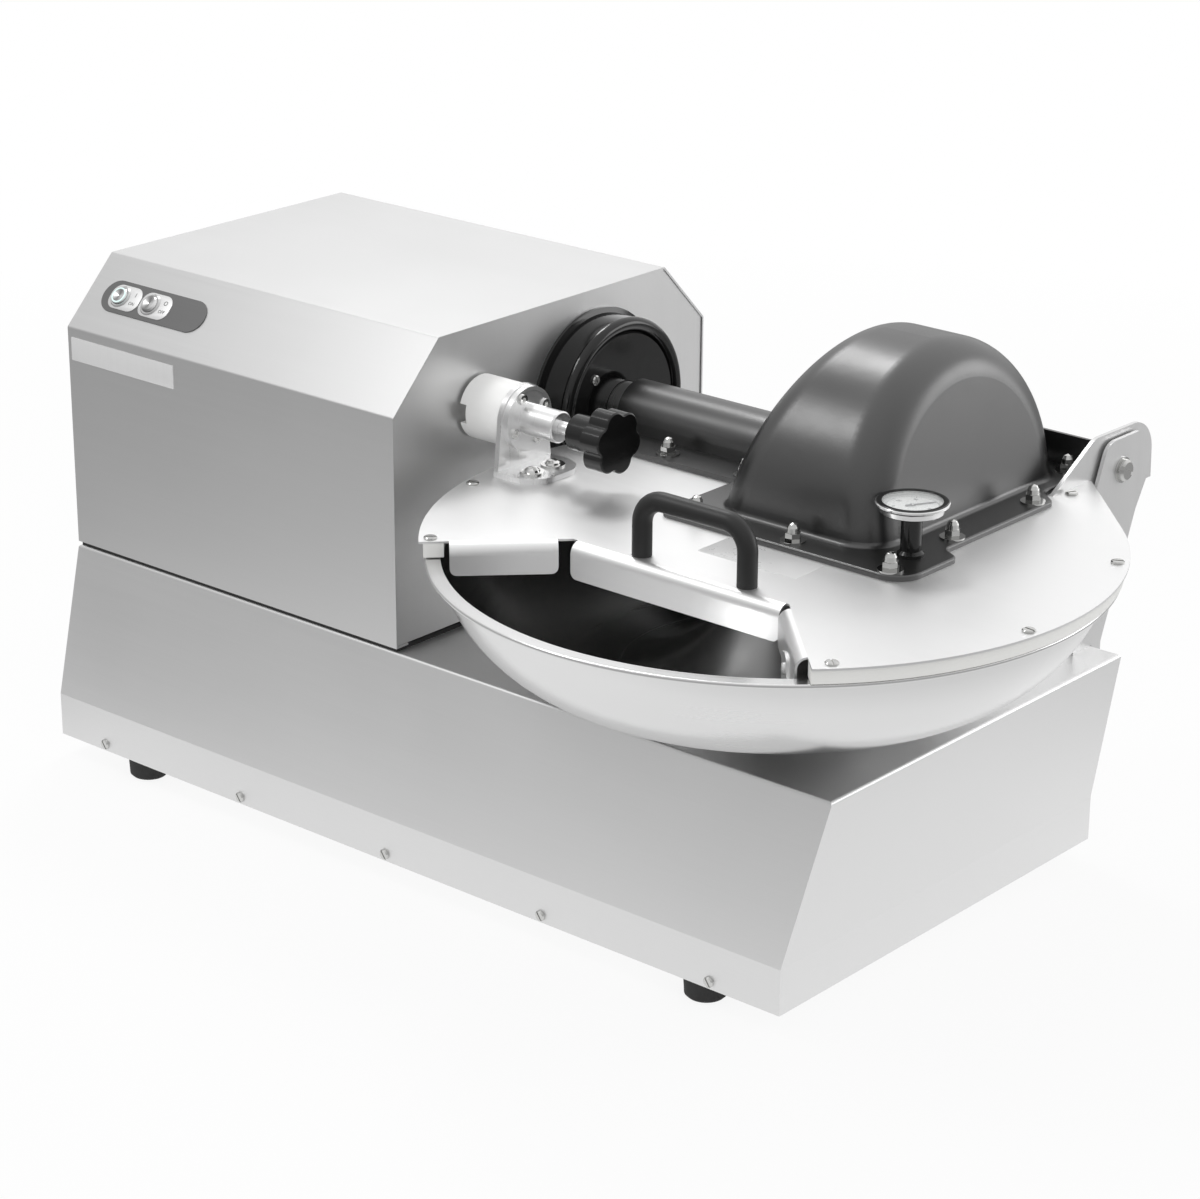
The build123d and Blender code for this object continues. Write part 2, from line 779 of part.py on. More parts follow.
def knife_shaft():
    """The knife shaft with its journals, shoulder and shiny collar."""
    shaft = rod_x(knife_belt_x - belt_margin, panel_x, shaft_y, shaft_z, journal_radius)
    shaft += rod_x(panel_x, knife_stack + shaft_end, shaft_y, shaft_z, shaft_radius)
    shaft += rod_x(cap_end - cap_bead, tube_left - 1, shaft_y, shaft_z, collar_radius)
    shoulder = first_knife - knife_gap + spacer_gap
    return shaft + rod_x(shoulder - knife_gap, shoulder, shaft_y, shaft_z, knife_hub_radius - 4)


def knife_place(i):
    """Where knife i starts along the shaft."""
    return first_knife + i * knife_gap


def sickle():
    """One sickle knife in the XY plane: a round hub and a curved blade out to its point."""
    size = knife_radius / 105.0
    outer = Pos(40 * size, 10 * size) * Circle(65 * size)
    inner = Pos(62 * size, 40 * size) * Circle(55 * size)
    limit = Pos(0, -60 * size) * Rectangle(300, 160 * size)
    return ((outer - inner) & limit) + Circle(knife_hub_radius)


def knife_blades():
    """The sickle knives, evenly turned, one behind the other."""
    blades = []
    for i in range(knife_count):
        turned = Rot(0, 0, i * 360 / knife_count + knife_lead) * (sickle() - Circle(shaft_radius))
        origin = (knife_place(i), shaft_y, shaft_z)
        seat = Plane(origin=origin, x_dir=(0, 1, 0), z_dir=(1, 0, 0))
        blades.append(extrude(seat * turned, amount=knife_thick))
    return blades


def knife_spacers():
    """The clamp collars between and beside the knives."""
    collars = []
    end_width = knife_gap - spacer_gap
    spans = [(first_knife - end_width, first_knife), (knife_stack, knife_stack + end_width)]
    for i in range(knife_count - 1):
        spans.append((knife_place(i) + knife_thick, knife_place(i + 1)))
    for x0, x1 in spans:
        collar = rod_x(x0, x1, shaft_y, shaft_z, knife_hub_radius - spacer_inset)
        collars.append(collar - rod_x(x0 - 1, x1 + 1, shaft_y, shaft_z, shaft_radius))
    return collars


def knife_nut():
    """The hexagon nut that clamps the knives."""
    x0 = knife_stack + knife_gap - spacer_gap
    seat = Plane(origin=(x0, shaft_y, shaft_z), x_dir=(0, 1, 0), z_dir=(1, 0, 0))
    nut = extrude(seat * RegularPolygon(nut_flat_radius, 6), amount=nut_length)
    nut = chamfer(nut.edges().group_by(Axis.X)[-1], 1.5)
    return nut - rod_x(x0 - 1, x0 + nut_length + 1, shaft_y, shaft_z, shaft_radius)


def knife_pulley():
    """The belt pulley at the left end of the knife shaft."""
    return pulley(
        knife_belt_x, knife_belt_width, shaft_y, shaft_z, knife_pulley_radius, journal_radius
    )


def knife_belt():
    """The belt from the motor to the knife shaft."""
    motor = (motor_y, motor_z, motor_knife_pulley)
    return belt(knife_belt_x, knife_belt_width, motor, (shaft_y, shaft_z, knife_pulley_radius))


def bowl_belt():
    """The belt from the motor down to the worm shaft."""
    motor = (motor_y, motor_z, motor_bowl_pulley)
    return belt(bowl_belt_x, bowl_belt_width, motor, (worm_y, worm_z, worm_pulley_radius))


def worm_shaft():
    """The shaft that brings the bowl drive to the gear case, with its worm."""
    end = bowl_x + case_half - case_wall - 3
    shaft = rod_x(bowl_belt_x - belt_margin, end, worm_y, worm_z, worm_shaft_radius)
    pitch = 2 * pi * wheel_tip / worm_wheel_teeth
    foot, tip = pitch * 0.36, pitch * 0.14
    for i in range(-4, 5):
        x = bowl_x + i * pitch
        ridge = [
            (x - foot, worm_shaft_radius - 0.5),
            (x - tip, worm_tip),
            (x + tip, worm_tip),
            (x + foot, worm_shaft_radius - 0.5),
        ]
        shaft += turned_x(ridge, worm_y, worm_z)
    return shaft


def worm_wheel():
    """The toothed wheel on the bowl's spindle."""
    height = 22.0
    root = wheel_tip - 4.5
    wheel = Cylinder(root, height)
    outline = [(root - 1, -2.6), (wheel_tip, -1.1), (wheel_tip, 1.1), (root - 1, 2.6)]
    tooth = extrude(make_face(Polyline(*outline, close=True)), height / 2, both=True)
    for i in range(worm_wheel_teeth):
        wheel += Rot(0, 0, (i + 0.5) * 360 / worm_wheel_teeth) * tooth
    return Pos(bowl_x, bowl_y, worm_z) * (wheel - Cylinder(spindle_radius, height * 2))


def worm_pulley():
    """The belt pulley at the left end of the worm shaft."""
    place = (worm_y, worm_z, worm_pulley_radius, worm_shaft_radius)
    return pulley(bowl_belt_x, bowl_belt_width, *place)


def pillow_block():
    """The bearing stand that carries the worm shaft's left end."""
    z0 = case_bottom
    x0, x1 = stand_x, stand_x + stand_width
    post = stand_boss - 2
    stand = block(x0 - 2, x1 + 2, worm_y - stand_half, worm_y + stand_half, z0, z0 + stand_foot)
    stand += block(x0 + 2, x1 - 2, worm_y - post, worm_y + post, z0, worm_z)
    stand += rod_x(x0, x1, worm_y, worm_z, stand_boss)
    return stand - rod_x(x0 - through, x1 + through, worm_y, worm_z, worm_shaft_radius + running)


def case_span():
    """Where the gear case starts and ends along Y."""
    return bowl_y - case_half, worm_y + worm_tip + 18


def gear_case():
    """The closed case round the worm gear, open at the top for its cover."""
    y0, y1 = case_span()
    left, right = bowl_x - case_half, bowl_x + case_half
    body = block(left, right, y0, y1, case_bottom, case_top)
    body = fillet(body.edges().filter_by(Axis.Z), 12)
    w = case_wall
    room = block(left + w, right - w, y0 + w, y1 - w, worm_z - 24, case_top + 1)
    room = fillet(room.edges().filter_by(Axis.Z), 6)
    body -= room
    body += rod_x(left - 8, left + w, worm_y, worm_z, 20)
    body -= rod_x(left - 2 * through, left + w + 1, worm_y, worm_z, worm_shaft_radius + running)
    return body - rod_z(bowl_x, bowl_y, worm_z - 40, worm_z, spindle_radius + running)


def gear_cover():
    """The gear case's cover plate with the spindle's bearing neck."""
    y0, y1 = case_span()
    plate = block(bowl_x - case_half, bowl_x + case_half, y0, y1, case_top, case_top + 8)
    plate = fillet(plate.edges().filter_by(Axis.Z), 12)
    plate += rod_z(bowl_x, bowl_y, case_top, -sheet, neck_hole - 1)
    return plate - rod_z(bowl_x, bowl_y, case_top - 9, through, spindle_radius + running)


def bowl_bearing():
    """The flanged bearing that the bowl's spindle comes up through, on the plinth top."""
    flange = [
        (spindle_radius + running, 0),
        (thrust_radius, 0),
        (thrust_radius, 5),
        (30, 7),
        (26, 14),
        (spindle_radius + running, 14),
    ]
    return turned_z(flange, bowl_x, bowl_y)


# ---------------------------------------------------------------- bowl
def bowl():
    """The bowl: a ring-shaped channel round a raised middle, with a stiff flat rim."""
    channel = Pos(channel_offset, shaft_z) * Circle(channel_radius + bowl_wall)
    channel -= Pos(channel_offset, shaft_z) * Circle(channel_radius)
    low = bowl_rim_z - bowl_rim_thick
    keep_width = bowl_rim_radius - hub_radius
    keep = Pos(hub_radius + keep_width / 2, low - 100) * Rectangle(keep_width, 200)
    wall = channel & keep
    rim = Pos(bowl_rim_radius - bowl_rim_width / 2, low + bowl_rim_thick / 2) * Rectangle(
        bowl_rim_width, bowl_rim_thick
    )
    outer_corners = rim.vertices().filter_by(lambda v: v.X > bowl_rim_radius - 1)
    rim = fillet(outer_corners, 1.2)
    hub_place = Pos(hub_radius / 2 + 0.5, (hub_low + hub_top) / 2)
    hub = hub_place * Rectangle(hub_radius + 1, hub_top - hub_low)
    face = Plane.XZ * (wall + rim + hub)
    return Pos(bowl_x, bowl_y, 0) * revolve(face, axis=Axis.Z)


def bowl_spindle():
    """The spindle from the gear case up to the bowl, with its seat under the hub."""
    spindle = rod_z(bowl_x, bowl_y, worm_z - 38, hub_low, spindle_radius)
    seat = [(0, 20), (26, 20), (26, 26), (17, 34), (17, hub_low), (0, hub_low)]
    nut = [
        (0, hub_top),
        (13, hub_top),
        (13, hub_top + 4),
        (9, hub_top + 10),
        (4, hub_top + 12),
        (0, hub_top + 12),
    ]
    return [spindle + turned_z(seat, bowl_x, bowl_y), turned_z(nut, bowl_x, bowl_y)]


# ---------------------------------------------------------------- hinge
def hinge_posts():
    """Two upright hinge plates, bolted over the plinth's back edge."""
    back = plinth_depth + touch
    low = -2 * post_foot
    front = plinth_depth - post_foot - 2
    outline = [
        (front, 0),
        (pivot_y - 32, pivot_z - 8),
        (pivot_y - 19, pivot_z + post_crown),
        (pivot_y + 27, pivot_z + post_crown),
        (pivot_y + post_back, pivot_z - 8),
        (pivot_y + 22, pivot_z - 35),
        (back + 12, 0),
        (back + 12, low),
        (back, low),
        (back, 0),
    ]
    face = make_face(Polyline(*outline, close=True))
    face = fillet(face.vertices().group_by(Axis.Y)[-1], post_corner)
    shoulders = face.vertices().filter_by(lambda v: v.Y > 5 and v.X > pivot_y)
    face = fillet(shoulders.filter_by(lambda v: v.Y < pivot_z), 9)
    plate = extrude(Plane.YZ.offset(post_x) * face, amount=post_thick)
    left = post_x - post_foot
    ear = block(left, post_x + post_thick, back, back + post_thick, low, -6)
    for z in (-16, -35):
        ear -= rod_y(post_x - post_foot / 2, back - 1, back + through, z, 2.6)
    foot = block(left, post_x + 1, front, front + post_foot, 0, post_thick)
    post = plate + ear + foot
    post -= rod_x(post_x - through, post_x + through, pivot_y, pivot_z, pivot_radius)
    return both_sides(post)


def hinge_pins():
    """The slotted pivot screws with their washers and nuts, and the lid's stop pins."""
    outer = post_x + post_thick
    washer = outer + 1.5
    inner = arm_inner - 8
    head_plane = Plane(origin=(washer, pivot_y, pivot_z), z_dir=(1, 0, 0))
    pin = head_plane * Rot(0, 0, 60) * slotted_head(8, 4)
    pin += rod_x(outer, washer, pivot_y, pivot_z, 9.5)
    pin += rod_x(inner, outer, pivot_y, pivot_z, pivot_radius)
    pin += rod_x(inner, arm_inner - free, pivot_y, pivot_z, 8)
    reach = pivot_z - arm_under + stop_radius + 0.4
    turn = radians(lid_opening)
    stop_y = pivot_y - reach * sin(turn) + stop_along * cos(turn)
    stop_z = pivot_z - reach * cos(turn) - stop_along * sin(turn)
    stop = rod_x(arm_inner, post_x, stop_y, stop_z, stop_radius)
    return both_sides(pin) + both_sides(stop)


def hinge_arms():
    """The two plates that carry the lid on its pivots, with a hooked stop edge at the back."""
    outline = [
        (arm_front, lid_top),
        (pivot_y - arm_crown, pivot_z + arm_crown),
        (pivot_y + arm_back - 2, pivot_z + arm_crown - 1),
        (pivot_y + arm_back, arm_under),
        (pivot_y - 24, arm_under),
        (bowl_y + lid_radius + free, lid_top),
    ]
    face = make_face(Polyline(*outline, close=True))
    back_top = face.vertices().group_by(Axis.Y)[-2]
    face = fillet(back_top, arm_corner)
    front_top = face.vertices().group_by(Axis.Y)[-1]
    face = fillet(front_top, arm_corner * 0.7)
    plate = extrude(Plane.YZ.offset(arm_inner) * face, amount=arm_thick)
    arm = plate - rod_x(arm_x - 2 * through, arm_x + through, pivot_y, pivot_z, pivot_radius + running)
    return both_sides(arm)


# ---------------------------------------------------------------- lid
def lid_outline():
    """The lid's plan: a circle drawn out to two back corners, less the feeding mouth."""
    back = bowl_y + lid_radius
    half = lid_radius * (sqrt(2) - 1)
    slope = lid_radius / sqrt(2)
    tail = make_face(
        Polyline(
            (bowl_x - slope, bowl_y + slope),
            (bowl_x - half, back),
            (bowl_x + half, back),
            (bowl_x + slope, bowl_y + slope),
            close=True,
        )
    )
    plan = Pos(bowl_x, bowl_y) * Circle(lid_radius) + tail
    far = 2 * lid_radius
    mouth = make_face(
        Polyline(
            (mouth_x - mouth_half, mouth_y),
            (mouth_x + mouth_half, mouth_y),
            (mouth_x + mouth_half + far, mouth_y - far),
            (mouth_x - mouth_half - far, mouth_y - far),
            close=True,
        )
    )
    return plan - mouth


def mouth_edge(side, t):
    """A point on the mouth's slanting edge, t from its corner. side is -1 left, 1 right."""
    return (mouth_x + side * (mouth_half + t * sqrt(0.5)), mouth_y - t * sqrt(0.5))


def mouth_slope():
    """How long the mouth's slanting edge is, from its corner to the lid's circle."""
    depth = bowl_y - mouth_y
    return (sqrt(2 * lid_radius**2 - (mouth_half - depth) ** 2) - mouth_half - depth) / sqrt(2)


def lip(start, end, depth):
    """A lip folded down along the mouth from start to end; the mouth is on the right of it."""
    length = hypot(end[0] - start[0], end[1] - start[1])
    along = Vector(end[0] - start[0], end[1] - start[1], 0).normalized()
    outward = Vector(along.Y, -along.X, 0)
    seat = Plane(origin=(start[0], start[1], lid_top), x_dir=outward, z_dir=along)
    quarter = Pos(0, lip_bend) * (Circle(lip_bend) - Circle(lip_bend - sheet))
    quarter &= Pos(lip_bend / 2, lip_bend / 2) * Rectangle(lip_bend, lip_bend)
    drop = Pos(lip_bend - sheet / 2, (lip_bend + depth) / 2) * Rectangle(sheet, depth - lip_bend)
    folded = extrude(seat * (quarter + drop), amount=length)
    corners = folded.edges().filter_by(lambda e: abs(e.length - sheet) < 0.01)
    corners = corners.filter_by(lambda e: e.center().Z < lid_top - depth + 0.01)
    corners = corners.filter_by(lambda e: abs(e.tangent_at(0.5).Z) < 0.1)
    return fillet(corners, 5.0)


def cover_window():
    """The cut-out under the knife cover: under the dome and under the shaft tube."""
    low = bowl_rim_z - 2 * lid_ring_height
    high = lid_top + through
    left = dome_left + cover_wall
    near = shaft_y - dome_half + cover_wall
    far = shaft_y + dome_half - cover_wall
    window = block(left, dome_right - cover_wall, near, far, low, high)
    half = tube_radius - cover_wall
    return window + block(bowl_x - lid_radius - 9, left + 9, shaft_y - half, shaft_y + half, low, high)


def lid_plate():
    """The lid: a flat plate with three lips folded down round the feeding mouth."""
    plate = extrude(Plane.XY.offset(lid_under) * lid_outline(), amount=sheet)
    plate -= cover_window()
    slope_end = mouth_slope() - 2 * lip_bend
    left = lip(mouth_edge(-1, slope_end - lip_bend), mouth_edge(-1, 10), lip_depth - 3)
    corner = mouth_x + mouth_half
    front = lip((mouth_x - mouth_half + 5, mouth_y), (corner - 2, mouth_y), lip_depth)
    right = lip(mouth_edge(1, 8), mouth_edge(1, slope_end), lip_depth)
    return plate + left + front + right


def lid_ring():
    """The nylon ring under the lid's edge, just clear of the bowl's rim."""
    outer = lid_radius - lid_ring_inset
    low = bowl_rim_z + lid_ring_gap
    ring = Circle(outer) - Circle(outer - lid_ring_width)
    ring = Pos(bowl_x, bowl_y) * ring & lid_outline()
    body = extrude(Plane.XY.offset(low) * ring, amount=lid_under - low)
    half = tube_radius - cover_wall
    return body - block(bowl_x - lid_radius, bowl_x, shaft_y - half, shaft_y + half, 0, lid_top)


def lid_screws():
    """The slotted screws that hold the ring under the lid."""
    screws = []
    radius = lid_radius - lid_screw_inset
    for angle in lid_screw_angles:
        x = bowl_x + radius * cos(radians(angle))
        y = bowl_y + radius * sin(radians(angle))
        screws.append(Pos(x, y, lid_top) * Rot(0, 0, angle) * slotted_head(4.6, 1.7))
    return screws


def handle():
    """The round bridge handle by the feeding mouth."""
    top = lid_top + handle_rise
    path = FilletPolyline(
        (handle_left, handle_y, lid_top),
        (handle_left, handle_y, top),
        (handle_right, handle_y, top),
        (handle_right, handle_y, lid_top),
        radius=handle_bend,
    )
    start = Plane(origin=(handle_left, handle_y, lid_top), z_dir=(0, 0, 1))
    return sweep(start * Circle(handle_radius), path=path)


# ---------------------------------------------------------------- knife cover
def dome_form(inset, drop):
    """The knife dome's solid form, smaller by inset, reaching drop below the lid's top."""
    half = dome_half - inset
    rise = dome_height - inset
    base = lid_top - drop
    arch = Pos(shaft_y, shaft_z) * Ellipse(half, rise)
    arch &= Pos(shaft_y, shaft_z + rise / 2) * Rectangle(2 * half, rise)
    arch += Pos(shaft_y, (shaft_z + base) / 2) * Rectangle(2 * half, shaft_z - base)
    body = extrude(Plane.YZ.offset(dome_left - 50) * arch, amount=dome_right - dome_left + 100)
    high = shaft_z + dome_height + 10
    left_run = tan(radians(dome_left_draft))
    right_run = tan(radians(dome_right_draft))
    left_in = inset / cos(radians(dome_left_draft))
    right_in = inset / cos(radians(dome_right_draft))
    sides = [
        (dome_left + left_in - left_run * drop, base),
        (dome_right - right_in + right_run * drop, base),
        (dome_right - right_in - right_run * (high - lid_top), high),
        (dome_left + left_in + left_run * (high - lid_top), high),
    ]
    slab = extrude(Plane.XZ * make_face(Polyline(*sides, close=True)), amount=999, both=True)
    body &= slab

    def on_an_end_rim(e):
        middle, way = e.center(), e.tangent_at(0.5)
        at_base = abs(middle.Z - base) < 0.01
        along = abs(way.X) > 0.9
        seam = abs(way.Y) > 0.99 and middle.Z < shaft_z + 1
        return not (at_base or along or seam)

    return fillet(body.edges().filter_by(on_an_end_rim), dome_round - inset)


def tube_form(radius, x0, x1, base):
    """A round-topped channel over the shaft, from x0 to x1, down to base."""
    arch = Pos(shaft_y, shaft_z) * Circle(radius)
    arch += Pos(shaft_y, (shaft_z + base) / 2) * Rectangle(2 * radius, shaft_z - base)
    arch &= Pos(shaft_y, base + 100) * Rectangle(200, 200)
    return extrude(Plane.YZ.offset(x0) * arch, amount=x1 - x0)


def cover_flange_plate():
    """The cover's flat flange with its ear under the thermometer and its tongue to the left."""
    ear = cover_right + ear_width
    ear_back = cover_front + ear_depth
    edge = make_face(
        Polyline(
            (cover_left, cover_front),
            (ear, cover_front),
            (ear, ear_back),
            (cover_right, ear_back + ear_width / 2),
            (cover_right, arm_front - 16),
            (arm_inner - 2, arm_front - 4),
            (arm_inner - 2, cover_back),
            (cover_left, cover_back),
            close=True,
        )
    )
    ear_tip = edge.vertices().filter_by(lambda v: v.X > ear - 1 and v.Y < cover_front + 1)
    edge = fillet(ear_tip, ear_corner)
    others = edge.vertices().filter_by(lambda v: v.Y > ear_back - 1 or v.X < cover_left + 1)
    edge = fillet(others, cover_corner)
    flange = extrude(Plane.XY.offset(lid_top) * edge, amount=cover_flange)
    half = tube_flange_half
    end = cover_left + 20
    return flange + block(tube_left, end, shaft_y - half, shaft_y + half, lid_top, cover_top)


def at_dome_foot(e):
    """Whether an edge is where the dome rises out of the flange."""
    x, y, z = e.center()
    beside = dome_left - 12 < x < dome_right + 3 and abs(y - shaft_y) < dome_half + 1
    return beside and abs(z - cover_top) < 0.01


def at_flange_edge(e):
    """Whether an edge is the flange's upper edge at its front or right."""
    x, y, z = e.center()
    outside = y < cover_front + 1 or x > cover_right - 1
    return outside and abs(z - cover_top) < 0.01 and abs((e @ 0).Z - cover_top) < 0.01


def knife_cover():
    """The black moulding: knife dome, shaft tube and their common flange."""
    body = dome_form(0, 0) + tube_form(tube_radius, tube_left, dome_left + 60, lid_top)
    body += cover_flange_plate()
    body = fillet(body.edges().filter_by(at_dome_foot), cover_flange)
    body = fillet(body.edges().filter_by(at_flange_edge), cover_flange * 0.4)
    body -= dome_form(cover_wall, 9)
    bore = tube_form(tube_radius - cover_wall, tube_left - through, dome_left + 90, lid_top - 9)
    return body - bore


def cover_nut_places():
    """Where the cap nuts stand on the knife cover's flange."""
    front, back = cover_front + 12, cover_back - 12.5
    near, far = shaft_y - 43, shaft_y + 43
    right = cover_right - 9
    places = [(cover_left + 24, front), (bowl_x + 23, front), (right + 6, front - 2)]
    places += [(right, bowl_y + 68.5), (right, bowl_y + 164.5), (right - 19, back)]
    tongue = tube_left + 65
    places += [(tongue, near), (cover_left - 1, near), (tongue, far), (cover_left - 1, far)]
    places += [(cover_left + 24, back)]
    return places


def cover_nuts():
    """The cap nuts with their washers."""
    washer = standing(washer_radius, washer_thick)
    hexagon = Pos(0, 0, washer_thick) * extrude(RegularPolygon(nut_flats, 6), amount=nut_height)
    z0 = washer_thick + nut_height
    z1 = z0 + nut_dome
    outline = [(0, z0), (4.4, z0), (4.2, z0 + nut_dome / 2), (2.8, z1 - 1), (0, z1)]
    nut = washer + hexagon + turned_z(outline, 0, 0)
    return [Pos(x, y, cover_top) * nut for x, y in cover_nut_places()]


def rear_guard():
    """The black upstand behind the dome, between the hinge arms."""
    x1 = arm_inner - 2
    x0 = 2 * bowl_x - x1
    top = lid_top + guard_height
    return block(x0, x1, cover_back - cover_wall, cover_back, cover_top, top)


# ---------------------------------------------------------------- lid latch
def latch_bracket():
    """The angle bracket of the latch: upright plate and round-ended foot."""
    crown = latch_radius + 1
    end = latch_plate_x + latch_plate
    sides = [
        (latch_y - latch_half, lid_top),
        (latch_y + latch_half, lid_top),
        (latch_y + crown, latch_z),
        (latch_y - crown, latch_z),
    ]
    bracket = plate_x(sides, latch_plate_x, end)
    bracket += rod_x(latch_plate_x, end, latch_y, latch_z, crown)
    tip = end + latch_foot + latch_half / 3
    foot = plate_z(
        [
            (latch_plate_x, latch_y - latch_half),
            (tip, latch_y - latch_half),
            (tip, latch_y + latch_half),
            (latch_plate_x, latch_y + latch_half),
        ],
        lid_top,
        lid_top + latch_plate,
    )
    foot = fillet(foot.edges().filter_by(Axis.Z).group_by(Axis.X)[-1], latch_half * 0.75)
    bracket += foot
    hole = rod_x(latch_plate_x - through, end + 5, latch_y, latch_z, nose_radius + free)
    return bracket - hole


def latch_sleeve_guide():
    """The white nylon guide, with a notch in its end towards the housing."""
    body = rod_x(latch_start, latch_plate_x, latch_y, latch_z, latch_radius)
    body -= rod_x(latch_start - 1, latch_plate_x + 1, latch_y, latch_z, nose_radius + running)
    near, far = latch_y - 2 * latch_radius, latch_y - nose_radius - 3
    notch = block(latch_start - 1, latch_start + 6, near, far, latch_z - 7, latch_z + 7)
    return body - notch


def latch_flange():
    """The turned aluminium flange and neck that guides the latch's rod."""
    x0 = latch_plate_x + latch_plate
    body = rod_x(x0, neck_start, latch_y, latch_z, latch_radius)
    body += rod_x(neck_start, neck_end, latch_y, latch_z, neck_radius)
    body = chamfer(body.edges().group_by(Axis.X)[-1], 1.0)
    body -= rod_x(x0 - 1, neck_end - 5, latch_y, latch_z, nose_radius + free + 1)
    return body - rod_x(x0, neck_end + 5, latch_y, latch_z, rod_radius + running)


def latch_plunger():
    """The sliding rod with its thicker nose."""
    nose = rod_x(latch_start + 1.5, latch_plate_x, latch_y, latch_z, nose_radius)
    nose = chamfer(nose.edges().group_by(Axis.X)[0], 2.0)
    return nose + rod_x(latch_plate_x - 1, knob_start + 20, latch_y, latch_z, rod_radius)


def star_knob():
    """The black star knob with its round hub."""
    hub = rod_x(knob_start, knob_start + knob_hub, latch_y, latch_z, knob_hub_radius)
    out = knob_radius - knob_lobe
    star = Circle(out)
    for i in range(knob_lobes):
        angle = radians(i * 360 / knob_lobes + 46)
        star += Pos(out * cos(angle), out * sin(angle)) * Circle(knob_lobe)
    star = fillet(star.vertices(), 3.0)
    grip = extrude(Plane.YZ.offset(knob_start + knob_hub - free) * star, amount=knob_thick)
    grip = chamfer(grip.edges().group_by(Axis.X)[-1], 1.0)
    knob = Pos(0, latch_y, latch_z) * grip + hub
    return knob - rod_x(knob_start - 1, knob_start + 20, latch_y, latch_z, rod_radius)


def latch_screws():
    """Four socket screws in the flange and the two dome bolts of the foot."""
    screws = []
    out = (latch_radius + neck_radius) / 2
    for angle in (25, 115, 205, 295):
        y = latch_y + out * cos(radians(angle))
        z = latch_z + out * sin(radians(angle))
        head = rod_x(neck_start, neck_start + 1.5, y, z, 3.8)
        screws.append(head - rod_x(neck_start + touch, neck_start + through, y, z, 1.8))
    outline = [(0, 0), (8.8, 0), (8.8, 1.3), (5.8, 1.3), (5.2, 2.6), (3.4, 3.9), (0, 4.4)]
    foot_x = latch_plate_x + latch_plate + latch_foot / 2 + 5
    for y in (latch_y - 12, latch_y + 10):
        screws.append(Pos(foot_x, y, lid_top + latch_plate) * turned_z(outline, 0, 0))
    return screws


# ---------------------------------------------------------------- thermometer
def thermometer_stem():
    """The black stem that carries the dial above the cover's flange."""
    top = dial_top - dial_deep
    outline = [
        (0, cover_top),
        (stem_radius + 2, cover_top),
        (stem_radius + 2, cover_top + 2),
        (stem_radius, cover_top + 4),
        (stem_radius, top),
        (0, top),
    ]
    return turned_z(outline, dial_x, dial_y)


def thermometer_case():
    """The dial's tapered cup with its polished bezel."""
    bottom = dial_top - dial_deep
    inside = dial_radius - dial_rim
    outline = [
        (0, bottom),
        (dial_radius - 4, bottom),
        (dial_radius - 3.4, bottom + 0.6),
        (dial_radius - 2.4, bottom + 4.0),
        (dial_radius - 0.8, bottom + 4.8),
        (dial_radius, bottom + 5.8),
        (dial_radius, dial_top - 0.6),
        (dial_radius - 0.6, dial_top),
        (inside + 0.6, dial_top),
        (inside, dial_top - 0.9),
        (inside, bottom + 3),
        (0, bottom + 3),
    ]
    return turned_z(outline, dial_x, dial_y)


def thermometer_dial():
    """The white dial face with the needle's pin."""
    z = dial_top - dial_rim - 1
    face = rod_z(dial_x, dial_y, z, z + 0.5, dial_radius - dial_rim - running)
    return face + rod_z(dial_x, dial_y, z, z + 1.6, 0.6)


def thermometer_needle():
    """The needle, turning on the dial's pin."""
    z = dial_top - dial_rim - 0.2
    hub = rod_z(0, 0, z, z + 0.6, 2)
    hand = plate_z([(-5, -0.9), (17, -0.3), (17, 0.3), (-5, 0.9)], z, z + 0.6)
    needle = Rot(0, 0, needle_angle) * (hub + hand) - rod_z(0, 0, z - 1, z + 2, 0.65)
    return Pos(dial_x, dial_y, 0) * needle


def thermometer_glass():
    """The flat glass over the dial."""
    z = dial_top - 1.9
    return rod_z(dial_x, dial_y, z, z + 0.8, dial_radius - dial_rim - running)


# ---------------------------------------------------------------- scraper
def scraper_frame():
    """A work plane on the outer face of the right lip: x along it, y up, z out to the mouth."""
    start = mouth_edge(1, 0)
    along = Vector(sqrt(0.5), -sqrt(0.5), 0)
    outward = Vector(-sqrt(0.5), -sqrt(0.5), 0)
    origin = (start[0] + outward.X * lip_bend, start[1] + outward.Y * lip_bend, lid_top)
    return Plane(origin=origin, x_dir=along, z_dir=outward)


def scraper_bracket():
    """The small steel bracket on the right lip, with its slotted screw."""
    x0 = scraper_start
    x1 = x0 + scraper_length
    outline = [(x0, -14), (x0 + 14, -10), (x1 - 8, -12), (x1, -44), (x0 + 2, -44)]
    face = fillet(make_face(Polyline(*outline, close=True)).vertices(), 3)
    frame = scraper_frame()
    plate = extrude(frame * face, amount=scraper_thick)
    return plate + frame * Pos(x0 + 16, -20, scraper_thick) * slotted_head(4, 2)


def scraper_blade():
    """The black scraper behind the bracket's foot."""
    x0 = scraper_start + 4
    x1 = scraper_start + scraper_length + 2
    outline = [(x0, -30), (x1, -30), (x1 - 2, -46), (x0 + 2, -46)]
    face = fillet(make_face(Polyline(*outline, close=True)).vertices(), 2)
    return extrude(scraper_frame() * face, amount=-scraper_blade_thick)


